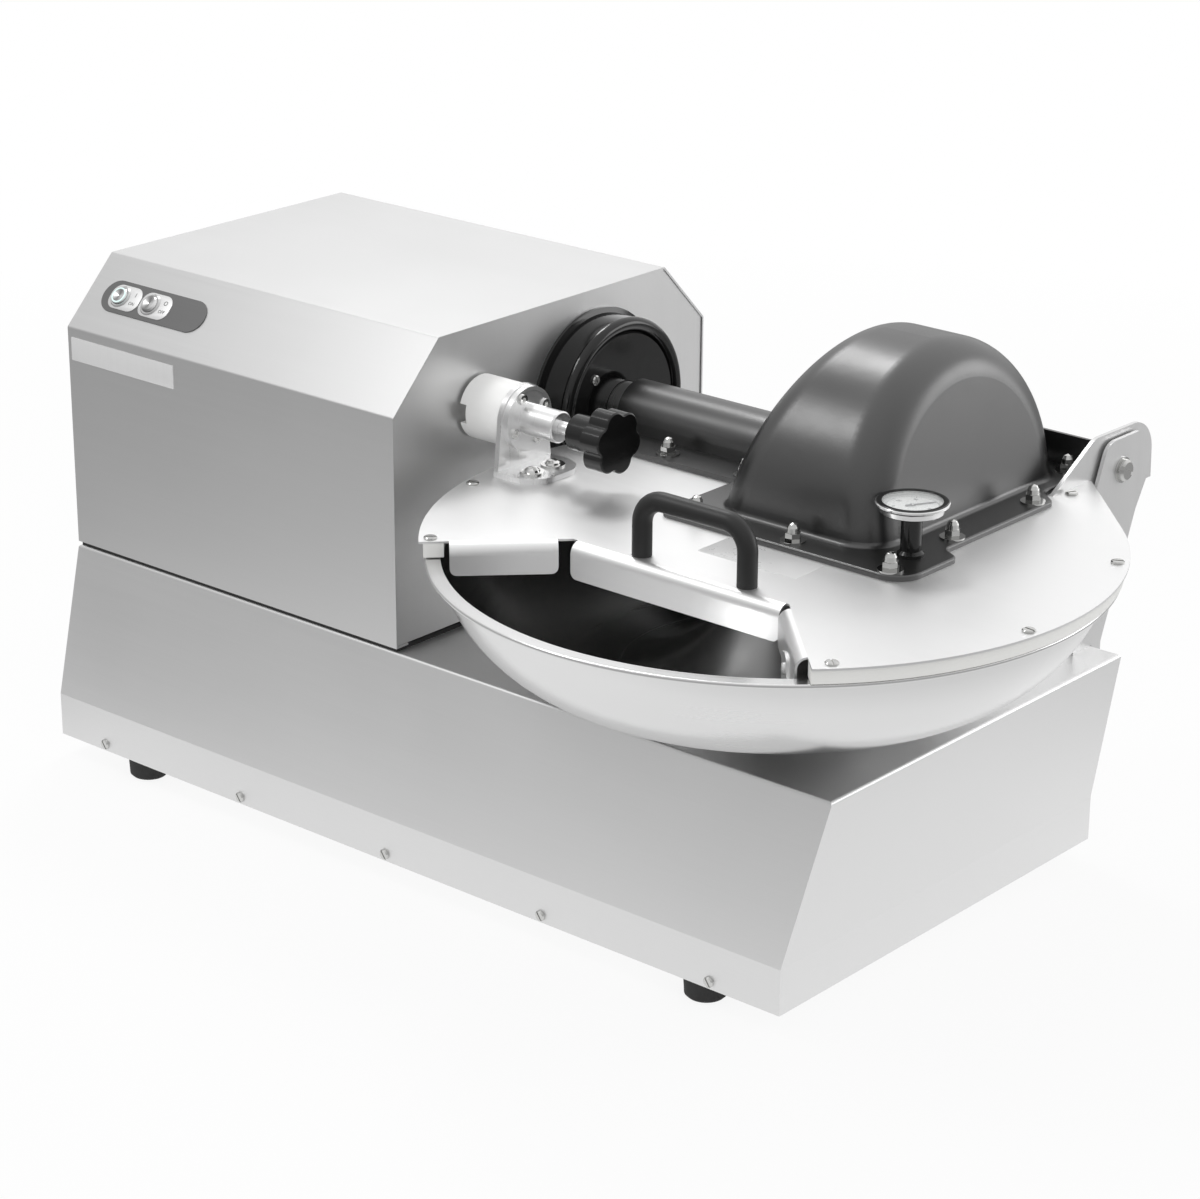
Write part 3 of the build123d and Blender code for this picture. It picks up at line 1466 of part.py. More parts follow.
# ---------------------------------------------------------------- all nodes
makers = {
    "plinth_shell": plinth_shell,
    "bottom_tray": bottom_tray,
    "rubber_feet": rubber_feet,
    "case_screws": case_screws,
    "housing_shell": housing_shell,
    "housing_end_panel": housing_end_panel,
    "housing_vent_panel": housing_vent_panel,
    "housing_gasket": housing_gasket,
    "latch_keeper": latch_keeper,
    "control_panel": control_panel,
    "button_bezels": button_bezels,
    "cable_gland": cable_gland,
    "motor_body": motor_body,
    "motor_mount": motor_mount,
    "bearing_housing": bearing_housing,
    "knife_bearings": knife_bearings,
    "bearing_cap": bearing_cap,
    "knife_belt": knife_belt,
    "bowl_belt": bowl_belt,
    "pillow_block": pillow_block,
    "gear_case": gear_case,
    "gear_cover": gear_cover,
    "bowl_bearing": bowl_bearing,
    "hinge_posts": hinge_posts,
    "hinge_pins": hinge_pins,
    "start_button": lambda: push_button(button_places[0]),
    "stop_button": lambda: push_button(button_places[1]),
    "motor_rotor": motor_rotor,
    "knife_shaft": knife_shaft,
    "knife_blades": knife_blades,
    "knife_spacers": knife_spacers,
    "knife_nut": knife_nut,
    "knife_pulley": knife_pulley,
    "worm_shaft": worm_shaft,
    "worm_pulley": worm_pulley,
    "bowl": bowl,
    "bowl_spindle": bowl_spindle,
    "worm_wheel": worm_wheel,
    "lid_plate": lid_plate,
    "lid_ring": lid_ring,
    "lid_screws": lid_screws,
    "hinge_arms": hinge_arms,
    "handle": handle,
    "knife_cover": knife_cover,
    "cover_nuts": cover_nuts,
    "rear_guard": rear_guard,
    "thermometer_stem": thermometer_stem,
    "thermometer_case": thermometer_case,
    "thermometer_dial": thermometer_dial,
    "thermometer_glass": thermometer_glass,
    "thermometer_needle": thermometer_needle,
    "scraper_bracket": scraper_bracket,
    "scraper_blade": scraper_blade,
    "latch_bracket": latch_bracket,
    "latch_sleeve": latch_sleeve_guide,
    "latch_flange": latch_flange,
    "latch_screws": latch_screws,
    "latch_plunger": latch_plunger,
    "star_knob": star_knob,
}


def as_shape(made):
    """One shape from what a maker gives: a shape, or a list of separate solids."""
    pieces = made if isinstance(made, list) else [made]
    solids = [solid for piece in pieces for solid in piece.solids()]
    return solids[0] if len(solids) == 1 else Compound(children=solids)


def main():
    """Makes every node, moves all to the shared origin and writes one file each."""
    shapes = {name: as_shape(maker()) for name, maker in makers.items()}
    boxes = [shape.bounding_box() for shape in shapes.values()]
    low_x = min(box.min.X for box in boxes)
    high_x = max(box.max.X for box in boxes)
    low_y = min(box.min.Y for box in boxes)
    high_y = max(box.max.Y for box in boxes)
    shift = Pos(-(low_x + high_x) / 2, -(low_y + high_y) / 2, -floor_z)
    for name, shape in shapes.items():
        export_step(shift * shape, f"parts/{name}.step")


main()
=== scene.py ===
"""Looks of a table-top meat bowl cutter: its finishes, small trim, studio and camera."""

import logging
import math
from dataclasses import dataclass
from enum import Enum
from typing import Callable, Iterable, Union

import bmesh
import bpy
from mathutils import Matrix, Vector


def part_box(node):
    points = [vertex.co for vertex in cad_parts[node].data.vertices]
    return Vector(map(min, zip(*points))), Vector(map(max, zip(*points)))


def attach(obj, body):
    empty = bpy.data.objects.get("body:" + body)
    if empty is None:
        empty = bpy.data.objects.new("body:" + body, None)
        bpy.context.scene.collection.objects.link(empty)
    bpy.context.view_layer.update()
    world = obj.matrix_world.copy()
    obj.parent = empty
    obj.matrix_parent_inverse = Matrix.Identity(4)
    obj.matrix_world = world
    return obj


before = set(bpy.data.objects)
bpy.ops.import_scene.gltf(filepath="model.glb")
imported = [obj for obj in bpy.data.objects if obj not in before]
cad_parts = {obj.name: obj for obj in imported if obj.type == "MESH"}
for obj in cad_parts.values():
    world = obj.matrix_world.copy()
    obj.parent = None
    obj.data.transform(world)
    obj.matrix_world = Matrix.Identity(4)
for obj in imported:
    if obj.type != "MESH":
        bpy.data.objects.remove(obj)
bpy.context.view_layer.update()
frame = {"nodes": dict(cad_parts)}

log = logging.getLogger("bowl_cutter")
MM = 0.001
MICRON = 0.000001
RIGHT = Vector((1, 0, 0))
FRONT = Vector((0, -1, 0))
UP = Vector((0, 0, 1))
WHITE = (1.0, 1.0, 1.0, 1.0)

Triple = tuple[float, float, float]
Colour = Triple
Number = Union["Signal", float]
Socket = bpy.types.NodeSocket
Nodes = dict[str, bpy.types.Object]
Element = Union[bmesh.types.BMEdge, bmesh.types.BMFace]


def grey(level: float) -> Colour:
    """Returns a colour without any tint."""
    return (level, level, level)


# ---------------------------------------------------------------- shader building
class Signal:
    """A number that changes over a surface: a socket that takes part in Python arithmetic."""

    def __init__(self, shader: "Shader", socket: Socket) -> None:
        """Keeps the socket and the shader it belongs to."""
        self.shader = shader
        self.socket = socket

    def math(self, operation: str, first: Number, second: Number = 0.0) -> "Signal":
        """Adds a Math node.

        Args:
            operation: the Math node's operation.
            first: its first value.
            second: its second value.

        Returns:
            The node's result.
        """
        node = self.shader.node("ShaderNodeMath", {"operation": operation}, {0: first, 1: second})
        return Signal(self.shader, node.outputs[0])

    def __add__(self, other: Number) -> "Signal":
        """Returns self + other."""
        return self.math("ADD", self, other)

    __radd__ = __add__

    def __sub__(self, other: Number) -> "Signal":
        """Returns self - other."""
        return self.math("SUBTRACT", self, other)

    def __rsub__(self, other: Number) -> "Signal":
        """Returns other - self."""
        return self.math("SUBTRACT", other, self)

    def __mul__(self, other: Number) -> "Signal":
        """Returns self * other."""
        return self.math("MULTIPLY", self, other)

    def __truediv__(self, other: Number) -> "Signal":
        """Returns self / other."""
        return self.math("DIVIDE", self, other)

    def __pow__(self, other: Number) -> "Signal":
        """Returns self raised to other."""
        return self.math("POWER", self, other)

    def at_least(self, low: float) -> "Signal":
        """Returns the signal, or low where it lies below that."""
        return self.math("MAXIMUM", self, low)

    def clamped(self) -> "Signal":
        """Returns the signal held between 0 and 1."""
        return self.math("MINIMUM", self.at_least(0.0), 1.0)

    def swing(self, by: float) -> "Signal":
        """Returns noise round 0.5 as a change round 0, at most half of by either way."""
        return (self - 0.5) * by


class Shader:
    """A node tree under construction, with one method that adds any node."""

    def __init__(self, tree: bpy.types.NodeTree) -> None:
        """Empties the tree."""
        self.tree = tree
        tree.nodes.clear()

    def node(
        self,
        kind: str,
        settings: dict[str, object] | None = None,
        inputs: dict[str | int, object] | None = None,
    ) -> bpy.types.Node:
        """Adds a node.

        Args:
            kind: the node's type.
            settings: its properties, which are set before its inputs.
            inputs: values or links of its sockets, by name or number.

        Returns:
            The new node.
        """
        node = self.tree.nodes.new(kind)
        for name, value in (settings or {}).items():
            setattr(node, name, value)
        for name, value in (inputs or {}).items():
            if isinstance(value, Signal):
                self.tree.links.new(value.socket, node.inputs[name])
            elif isinstance(value, Socket):
                self.tree.links.new(value, node.inputs[name])
            else:
                node.inputs[name].default_value = value
        return node

    def place(self, scale: Vector = Vector((1, 1, 1)), centre: Vector = Vector()) -> Socket:
        """Returns the point on the piece, from centre, times scale on each axis."""
        place = self.node("ShaderNodeTexCoord").outputs["Object"]
        for operation, by in (("SUBTRACT", centre), ("MULTIPLY", scale)):
            inputs = {0: place, 1: tuple(by)}
            place = self.node("ShaderNodeVectorMath", {"operation": operation}, inputs).outputs[0]
        return place

    def axes(self, vector: Socket) -> tuple[Signal, Signal, Signal]:
        """Returns a vector's three parts."""
        split = self.node("ShaderNodeSeparateXYZ", inputs={0: vector})
        return tuple(Signal(self, socket) for socket in split.outputs)

    def joined(self, x: Number, y: Number, z: Number) -> Socket:
        """Returns a vector of three parts."""
        return self.node("ShaderNodeCombineXYZ", inputs={0: x, 1: y, 2: z}).outputs[0]

    def noise(self, vector: Socket, scale: float, detail: float = 2.0) -> Signal:
        """Returns smooth noise round 0.5 at that many features a unit."""
        inputs = {"Vector": vector, "Scale": scale, "Detail": detail}
        return Signal(self, self.node("ShaderNodeTexNoise", inputs=inputs).outputs["Fac"])

    def blend(self, share: Number, low: Colour, high: Colour) -> Socket:
        """Returns a colour between low and high."""
        inputs = {0: share, 6: (*low, 1.0), 7: (*high, 1.0)}
        return self.node("ShaderNodeMix", {"data_type": "RGBA"}, inputs).outputs[2]

    def bump(self, height: Signal, depth: float) -> Socket:
        """Returns the normal of a surface that rises by height times depth in metres."""
        node = self.node("ShaderNodeBump", inputs={"Distance": depth, "Height": height})
        return node.outputs["Normal"]

    def rays(self) -> tuple[Signal, Signal]:
        """Returns 1 for rays straight from the camera or through glass, and 1 for mirrored rays."""
        path = self.node("ShaderNodeLightPath")
        seen = Signal(self, path.outputs["Is Camera Ray"])
        mirrored = Signal(self, path.outputs["Is Glossy Ray"])
        through = Signal(self, path.outputs["Is Transmission Ray"])
        return seen + through, mirrored

    def mix(self, share: Signal, low: bpy.types.Node, high: bpy.types.Node) -> Socket:
        """Returns a surface between those of two nodes."""
        inputs = {0: share, 1: low.outputs[0], 2: high.outputs[0]}
        return self.node("ShaderNodeMixShader", inputs=inputs).outputs[0]

    def principled(self, **sockets: object) -> bpy.types.Node:
        """Adds the Principled shader; a name's underscores stand for spaces."""
        inputs = {name.replace("_", " "): value for name, value in sockets.items()}
        return self.node("ShaderNodeBsdfPrincipled", inputs=inputs)

    def output(self, surface: Socket, kind: str = "ShaderNodeOutputMaterial") -> None:
        """Ends the tree with its surface."""
        self.node(kind, inputs={"Surface": surface})


# ---------------------------------------------------------------- finishes
@dataclass(frozen=True)
class Finish:
    """What every finish has: a name and a colour."""

    name: str
    colour: Colour

    def shade(self, shader: Shader) -> Socket:
        """Builds the finish's nodes and returns its surface."""
        raise NotImplementedError

    def material(self) -> bpy.types.Material:
        """Returns the material, made at its first use."""
        found = bpy.data.materials.get(self.name)
        if found:
            return found
        material = bpy.data.materials.new(self.name)
        material.use_nodes = True
        shader = Shader(material.node_tree)
        shader.output(self.shade(shader))
        material.diffuse_color = (*self.colour, 1.0)
        return material

    def toned(self, by: float) -> Colour:
        """Returns the colour made lighter or darker."""
        return tuple(min(1.0, part * by) for part in self.colour)

    def varied(self, shader: Shader, tone: Signal, contrast: float) -> Socket:
        """Returns the colour, darker where tone is low and lighter where it is high."""
        return shader.blend(tone, self.toned(1 - contrast), self.toned(1 + contrast))

    def dress(self, *pieces: bpy.types.Object) -> None:
        """Puts the finish on pieces, in the slots of their objects."""
        for piece in pieces:
            if not piece.material_slots:
                piece.data.materials.append(None)
            for slot in piece.material_slots:
                slot.link = "OBJECT"
                slot.material = self.material()


class Grain(Enum):
    """Which way a metal's brushing runs, as its lines a metre on each axis."""

    ALONG_X = (4.0, 800.0, 800.0)
    ALONG_Y = (800.0, 4.0, 800.0)
    ALONG_Z = (800.0, 800.0, 4.0)
    EVEN = (500.0, 500.0, 500.0)


@dataclass(frozen=True)
class BrushedMetal(Finish):
    """Sheet or plate metal with straight brushing, faint smears and soft gloss."""

    grain: Grain = Grain.ALONG_X
    metallic: float = 1.0
    roughness: float = 0.34
    contrast: float = 0.06
    line_depth: float = 6 * MICRON
    finer: float = 2.7
    line_share: float = 0.6
    brush_share: float = 0.75
    smear_rate: float = 9.0
    brush_swing: float = 0.16
    smear_swing: float = 0.12

    def shade(self, shader: Shader) -> Socket:
        """Builds the finish's nodes and returns its surface."""
        grain = Vector(self.grain.value)
        lines = shader.noise(shader.place(grain), 1.0, 3.0)
        fine = shader.noise(shader.place(grain * self.finer), 1.0)
        smears = shader.noise(shader.place(), self.smear_rate, 3.0)
        brushing = lines * self.line_share + fine * (1 - self.line_share)
        tone = brushing * self.brush_share + smears * (1 - self.brush_share)
        rough = self.roughness + brushing.swing(self.brush_swing) + smears.swing(self.smear_swing)
        return shader.principled(
            Base_Color=self.varied(shader, tone, self.contrast),
            Metallic=self.metallic,
            Roughness=rough.clamped(),
            Normal=shader.bump(brushing, self.line_depth),
        ).outputs[0]


@dataclass(frozen=True)
class TurnedMetal(Finish):
    """Metal spun or turned about an axis, with rings of tool marks round it."""

    centre: Triple = (0.0, 0.0, 0.0)
    axis: int = 2
    pitch: float = 1.2 * MM
    roughness: float = 0.28
    contrast: float = 0.06
    mark_depth: float = 6 * MICRON
    broad_rate: float = 0.35
    broad_share: float = 0.45
    mark_share: float = 0.8
    smear_rate: float = 12.0
    mark_swing: float = 0.2
    smear_swing: float = 0.1

    def shade(self, shader: Shader) -> Socket:
        """Builds the finish's nodes and returns its surface."""
        parts = list(shader.axes(shader.place(centre=Vector(self.centre))))
        along = parts.pop(self.axis)
        first, second = parts
        radius = (first * first + second * second) ** 0.5
        rings = shader.joined(radius / self.pitch, along / self.pitch, 0.0)
        broad = shader.noise(rings, self.broad_rate)
        fine = shader.noise(rings, 1.0)
        smears = shader.noise(shader.place(), self.smear_rate)
        marks = broad * self.broad_share + fine * (1 - self.broad_share)
        tone = marks * self.mark_share + smears * (1 - self.mark_share)
        rough = self.roughness + marks.swing(self.mark_swing) + smears.swing(self.smear_swing)
        return shader.principled(
            Base_Color=self.varied(shader, tone, self.contrast),
            Metallic=1.0,
            Roughness=rough.clamped(),
            Normal=shader.bump(marks, self.mark_depth),
        ).outputs[0]


@dataclass(frozen=True)
class SunburstMetal(Finish):
    """A dished metal face on a slope, finely turned, with the bright and dark sectors of its shine
    painted into its colour as painted highlight and painted shade.
    """

    centre: Triple = (0.0, 0.0, 0.0)
    uphill: Triple = (0.0, 0.7, 0.7)
    pitch: float = 0.4 * MM
    roughness: float = 0.2
    sectors: float = 2.0
    sector_share: float = 0.8
    # dark and light: the colour's level in the painted shade and in the painted highlight of the sectors
    dark: float = 0.3
    light: float = 1.15
    ring_swing: float = 0.1
    ring_depth: float = 3 * MICRON

    def shade(self, shader: Shader) -> Socket:
        """Builds the finish's nodes and returns its surface."""
        x, y, z = shader.axes(shader.place(centre=Vector(self.centre)))
        rise = y * self.uphill[1] + z * self.uphill[2]
        angle = x.math("ARCTAN2", rise, x)
        # painted highlight and painted shade: lighter and darker sectors round the centre, painted into
        # the base colour
        painted_sheen = angle.math("COSINE", angle * self.sectors) * 0.5 + 0.5
        radius = (x * x + rise * rise) ** 0.5
        rings = shader.noise(shader.joined(radius / self.pitch, 0.0, 0.0), 1.0)
        tone = painted_sheen * self.sector_share + rings * (1 - self.sector_share)
        return shader.principled(
            Base_Color=shader.blend(tone.clamped(), self.toned(self.dark), self.toned(self.light)),
            Metallic=1.0,
            Roughness=(self.roughness + rings.swing(self.ring_swing)).clamped(),
            Normal=shader.bump(rings, self.ring_depth),
        ).outputs[0]


@dataclass(frozen=True)
class Moulded(Finish):
    """Moulded plastic, rubber or enamel: a pebbled skin with handling marks."""

    roughness: float = 0.4
    pebble: float = 0.9 * MM
    depth: float = 30 * MICRON
    coat: float = 0.0
    coat_roughness: float = 0.15
    shine: float = 0.5
    bend: float = 1.5
    contrast: float = 0.12
    cloud_rate: float = 22.0
    cloud_swing: float = 0.14
    skin_swing: float = 0.08

    def shade(self, shader: Shader) -> Socket:
        """Builds the finish's nodes and returns its surface."""
        where = shader.place()
        skin = shader.noise(where, 1.0 / self.pebble)
        cloud = shader.noise(where, self.cloud_rate, 3.0)
        rough = self.roughness + cloud.swing(self.cloud_swing) + skin.swing(self.skin_swing)
        return shader.principled(
            Base_Color=self.varied(shader, cloud, self.contrast),
            Roughness=rough.clamped(),
            Specular_IOR_Level=self.shine,
            IOR=self.bend,
            Coat_Weight=self.coat,
            Coat_Roughness=self.coat_roughness,
            Normal=shader.bump(skin, self.depth),
        ).outputs[0]


@dataclass(frozen=True)
class RibbedRubber(Finish):
    """A belt's fabric-backed rubber, with a fine cross rib."""

    rib: float = 1.6 * MM
    rib_share: float = 0.3
    weave_rate: float = 1400.0
    dark: float = 0.75
    light: float = 1.3
    roughness: float = 0.75
    weave_swing: float = 0.2
    depth: float = 80 * MICRON

    def shade(self, shader: Shader) -> Socket:
        """Builds the finish's nodes and returns its surface."""
        across = shader.axes(shader.place(Vector((1, 1, 1)) / self.rib))[0]
        wave = across.math("SINE", across * math.tau)
        weave = shader.noise(shader.place(), self.weave_rate)
        return shader.principled(
            Base_Color=shader.blend(weave, self.toned(self.dark), self.toned(self.light)),
            Roughness=(self.roughness + weave.swing(self.weave_swing)).clamped(),
            Normal=shader.bump(wave * self.rib_share + weave, self.depth),
        ).outputs[0]


@dataclass(frozen=True)
class ClearGlass(Finish):
    """Thin flat glass: nearly all clear, with a shine that grows at a low angle."""

    dust_rate: float = 260.0
    roughness: float = 0.03
    dust_roughness: float = 0.05
    cover: float = 0.1
    dust_cover: float = 0.08

    def shade(self, shader: Shader) -> Socket:
        """Builds the finish's nodes and returns its surface."""
        dust = shader.noise(shader.place(), self.dust_rate, 3.0)
        return shader.principled(
            Base_Color=(*self.colour, 1.0),
            Roughness=(self.roughness + dust * self.dust_roughness).clamped(),
            Alpha=(self.cover + dust * self.dust_cover).clamped(),
        ).outputs[0]


@dataclass(frozen=True)
class GlowingRing(Finish):
    """The button's lit ring: pale translucent plastic with a low glow."""

    glow: float = 0.25
    contrast: float = 0.08
    cloud_rate: float = 400.0
    roughness: float = 0.25
    cloud_roughness: float = 0.1

    def shade(self, shader: Shader) -> Socket:
        """Builds the finish's nodes and returns its surface."""
        cloud = shader.noise(shader.place(), self.cloud_rate)
        tint = self.varied(shader, cloud, self.contrast)
        return shader.principled(
            Base_Color=tint,
            Roughness=(self.roughness + cloud * self.cloud_roughness).clamped(),
            Emission_Color=tint,
            Emission_Strength=self.glow,
        ).outputs[0]


# ---------------------------------------------------------------- modelling by hand
@dataclass(frozen=True)
class Seat:
    """Where a piece is made: its origin, the way its length runs and the way that it faces."""

    origin: Vector
    along: Vector
    facing: Vector

    def matrix(self) -> Matrix:
        """Returns the seat as a matrix from its own axes to the frame."""
        z = self.facing.normalized()
        x = (self.along - z * self.along.dot(z)).normalized()
        y = z.cross(x)
        turned = Matrix((x, y, z)).transposed().to_4x4()
        return Matrix.Translation(self.origin) @ turned

    def moved(self, x: float = 0.0, y: float = 0.0, z: float = 0.0) -> "Seat":
        """Returns a seat that lies x, y and z further along this one's own axes."""
        return Seat(self.matrix() @ Vector((x, y, z)), self.along, self.facing)


class Bench:
    """Primitives shaped in edit mode, and what finishes a piece."""

    corner_steps = 10
    round_steps = 64
    crown_steps = 6
    letter_steps = 4
    capital = 0.7  # a capital's height, as a share of the type's size
    bevel_rise = 0.5  # how far a bevel's top is lifted, as a share of its width
    level = 0.9  # the least rise of the normal of a face that counts as a top
    ring_weld = 1e-6
    weld = 1e-7
    sharp_from = math.radians(35)

    @staticmethod
    def clear() -> None:
        """Deselects everything."""
        bpy.ops.object.select_all(action="DESELECT")

    @staticmethod
    def pick(piece: bpy.types.Object) -> None:
        """Makes a piece the only one selected, and active."""
        Bench.clear()
        piece.select_set(True)
        bpy.context.view_layer.objects.active = piece

    @staticmethod
    def pick_parts(piece: bpy.types.Object, kind: str, wanted: Callable[[Element], bool]) -> None:
        """Selects, in edit mode, the edges (EDGE) or faces (FACE) that pass a test."""
        bpy.ops.mesh.select_mode(type=kind)
        bpy.ops.mesh.select_all(action="DESELECT")
        shape = bmesh.from_edit_mesh(piece.data)
        for part in shape.edges if kind == "EDGE" else shape.faces:
            part.select_set(wanted(part))
        bmesh.update_edit_mesh(piece.data)

    @staticmethod
    def slab(size: Triple, corner: float, edge: float) -> bpy.types.Object:
        """Models a flat plate lying on the XY plane.

        Args:
            size: its length, width and thickness.
            corner: the radius of its four corners.
            edge: the width of the bevel round its top.

        Returns:
            The plate.
        """
        Bench.clear()
        half = size[2] / 2
        bpy.ops.mesh.primitive_cube_add(size=1, location=(0, 0, half), scale=size)
        bpy.ops.object.transform_apply(location=True, rotation=True, scale=True)
        piece = bpy.context.object
        bpy.ops.object.mode_set(mode="EDIT")
        Bench.pick_parts(piece, "EDGE", lambda e: abs(e.verts[0].co.z - e.verts[1].co.z) > half)
        bpy.ops.mesh.bevel(offset=corner, segments=Bench.corner_steps, affect="EDGES")
        Bench.pick_parts(piece, "FACE", lambda f: f.normal.z > Bench.level and f.verts[0].co.z > half)
        bpy.ops.mesh.inset(thickness=edge)
        bpy.ops.transform.translate(value=(0, 0, edge * Bench.bevel_rise))
        bpy.ops.object.mode_set(mode="OBJECT")
        return piece

    @staticmethod
    def ring(outer: float, inner: float, thick: float) -> bpy.types.Object:
        """Models a flat ring with a rounded top, lying on the XY plane, and returns it."""
        Bench.clear()
        bpy.ops.mesh.primitive_circle_add(
            vertices=Bench.round_steps, radius=outer, fill_type="NOTHING"
        )
        piece = bpy.context.object
        bpy.ops.object.mode_set(mode="EDIT")
        for radius, rise in Bench.ring_steps(outer, inner, thick):
            bpy.ops.mesh.select_mode(type="EDGE")
            bpy.ops.mesh.extrude_region_move()
            Bench.reshape_loop(piece, radius, rise)
        bpy.ops.mesh.select_all(action="SELECT")
        bpy.ops.mesh.remove_doubles(threshold=Bench.ring_weld)
        bpy.ops.mesh.normals_make_consistent(inside=False)
        bpy.ops.object.mode_set(mode="OBJECT")
        return piece

    @staticmethod
    def ring_steps(outer: float, inner: float, thick: float) -> list[tuple[float, float]]:
        """Returns the radius and height of a ring's section, from its outer foot round to it again."""
        middle, half = (outer + inner) / 2, (outer - inner) / 2
        crown = []
        for step in range(Bench.crown_steps + 1):
            angle = step * math.pi / Bench.crown_steps
            crown.append((middle + half * math.cos(angle), thick * (0.5 + 0.5 * math.sin(angle))))
        return crown + [(inner, 0.0), (outer, 0.0)]

    @staticmethod
    def reshape_loop(piece: bpy.types.Object, radius: float, rise: float) -> None:
        """Puts the selected loop at a radius from the upright axis and at a height."""
        shape = bmesh.from_edit_mesh(piece.data)
        for vertex in shape.verts:
            if vertex.select:
                flat = Vector((vertex.co.x, vertex.co.y)).normalized() * radius
                vertex.co = (flat.x, flat.y, rise)
        bmesh.update_edit_mesh(piece.data)

    @staticmethod
    def word(text: str, height: float, thick: float) -> bpy.types.Object:
        """Models raised lettering, centred on the XY plane, as a mesh.

        Args:
            text: the letters.
            height: the height of a capital.
            thick: how far the letters stand proud.

        Returns:
            The lettering.
        """
        Bench.clear()
        bpy.ops.object.text_add()
        piece = bpy.context.object
        piece.data.body = text
        piece.data.size = height / Bench.capital
        piece.data.extrude = thick / 2
        piece.data.align_x = "CENTER"
        piece.data.align_y = "CENTER"
        piece.data.resolution_u = Bench.letter_steps
        bpy.ops.object.convert(target="MESH")
        return bpy.context.object

    @staticmethod
    def join(pieces: Iterable[bpy.types.Object]) -> bpy.types.Object:
        """Joins pieces into the first and returns it."""
        pieces = list(pieces)
        Bench.pick(pieces[0])
        for piece in pieces:
            piece.select_set(True)
        if len(pieces) > 1:
            bpy.ops.object.join()
        return pieces[0]

    @staticmethod
    def put(piece: bpy.types.Object, seat: Seat, turn: float = 0.0) -> bpy.types.Object:
        """Moves the mesh of a piece made on the XY plane onto its seat, and returns the piece."""
        Bench.pick(piece)
        piece.matrix_world = seat.matrix() @ Matrix.Rotation(turn, 4, "Z") @ piece.matrix_world
        bpy.ops.object.transform_apply(location=True, rotation=True, scale=True)
        return piece

    @staticmethod
    def bore(piece: bpy.types.Object, x: float, radius: float, depth: float) -> None:
        """Cuts a round hole through a piece that still lies on the XY plane."""
        Bench.clear()
        bpy.ops.mesh.primitive_cylinder_add(
            vertices=Bench.round_steps, radius=radius, depth=depth, location=(x, 0, 0)
        )
        cutter = bpy.context.object
        bpy.ops.object.transform_apply(location=True, rotation=True, scale=True)
        Bench.pick(piece)
        cut = piece.modifiers.new("hole", "BOOLEAN")
        cut.object = cutter
        cut.solver = "EXACT"
        bpy.ops.object.modifier_apply(modifier=cut.name)
        bpy.data.objects.remove(cutter)

    @staticmethod
    def finish(piece: bpy.types.Object, name: str, body: str, slot: str, finish: Finish) -> None:
        """Tidies a finished piece's mesh, names and dresses it and ties it to its body.

        Args:
            piece: the finished piece.
            name: what the piece is called.
            body: the moving body that it rides on.
            slot: the material slot of the record that it would take its finish from; not used.
            finish: what it is dressed in.
        """
        Bench.pick(piece)
        bpy.ops.object.mode_set(mode="EDIT")
        bpy.ops.mesh.select_all(action="SELECT")
        bpy.ops.mesh.remove_doubles(threshold=Bench.weld)
        bpy.ops.mesh.normals_make_consistent(inside=False)
        bpy.ops.object.mode_set(mode="OBJECT")
        bpy.ops.object.shade_smooth_by_angle(angle=Bench.sharp_from)
        piece.name = name
        piece.data.name = name
        piece.data.materials.clear()
        finish.dress(piece)
        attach(piece, body)
        log.info("piece %s rides on %s in %s", name, body, finish.name)


# ---------------------------------------------------------------- where things are
class Places:
    """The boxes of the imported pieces, and the points and ways that follow from them."""

    same_way = 0.8  # the least share of a normal that runs the way asked for

    @staticmethod
    def low(node: str) -> Vector:
        """Returns a piece's lowest corner."""
        return Vector(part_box(node)[0])

    @staticmethod
    def high(node: str) -> Vector:
        """Returns a piece's highest corner."""
        return Vector(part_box(node)[1])

    @staticmethod
    def middle(node: str) -> Vector:
        """Returns the middle of a piece's box."""
        return (Places.low(node) + Places.high(node)) / 2

    @staticmethod
    def widest_facing(node: str, toward: Vector) -> Vector:
        """Returns the normal that most of a piece's surface on that side shares."""
        total = Vector()
        for face in frame["nodes"][node].data.polygons:
            if face.normal.dot(toward) > Places.same_way:
                total += face.normal * face.area
        return total.normalized()

    @staticmethod
    def reach(node: str, origin: Vector, facing: Vector) -> float:
        """Returns how far a piece reaches beyond a point, the way that is faced."""
        return max((v.co - origin).dot(facing) for v in frame["nodes"][node].data.vertices)


def turned_about(node: str, name: str, colour: Colour, **sizes: float) -> TurnedMetal:
    """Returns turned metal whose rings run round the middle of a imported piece.

    Args:
        node: the piece that gives the middle.
        name: the finish's name.
        colour: its colour.
        sizes: its other fields.

    Returns:
        The finish.
    """
    return TurnedMetal(name, colour, centre=tuple(Places.middle(node)), **sizes)


# ---------------------------------------------------------------- the machine
class Part:
    """A part of the machine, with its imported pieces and, on some, its own trim."""

    def dress(self, nodes: Nodes) -> None:
        """Dresses the part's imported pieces."""
        raise NotImplementedError

    def build(self) -> None:
        """Builds the part's trim, if it has any."""


@dataclass
class Plinth(Part):
    """The folded plinth with its tray, feet and screws."""

    steel: Finish = BrushedMetal("plinth_steel", grey(0.78), roughness=0.46, contrast=0.04)
    screw_steel: Finish = BrushedMetal("screw_steel", (0.62, 0.62, 0.61), Grain.EVEN, roughness=0.25)
    rubber: Finish = Moulded("foot_rubber", grey(0.022), roughness=0.62, pebble=0.7 * MM)
    seal: Finish = Moulded("seal_strip", grey(0.02), roughness=0.7, pebble=1.2 * MM)

    def dress(self, nodes: Nodes) -> None:
        """Dresses the plinth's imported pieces."""
        self.steel.dress(nodes["plinth_shell"], nodes["bottom_tray"])
        self.screw_steel.dress(nodes["case_screws"])
        self.rubber.dress(nodes["rubber_feet"])
        self.seal.dress(nodes["housing_gasket"], nodes["cable_gland"])


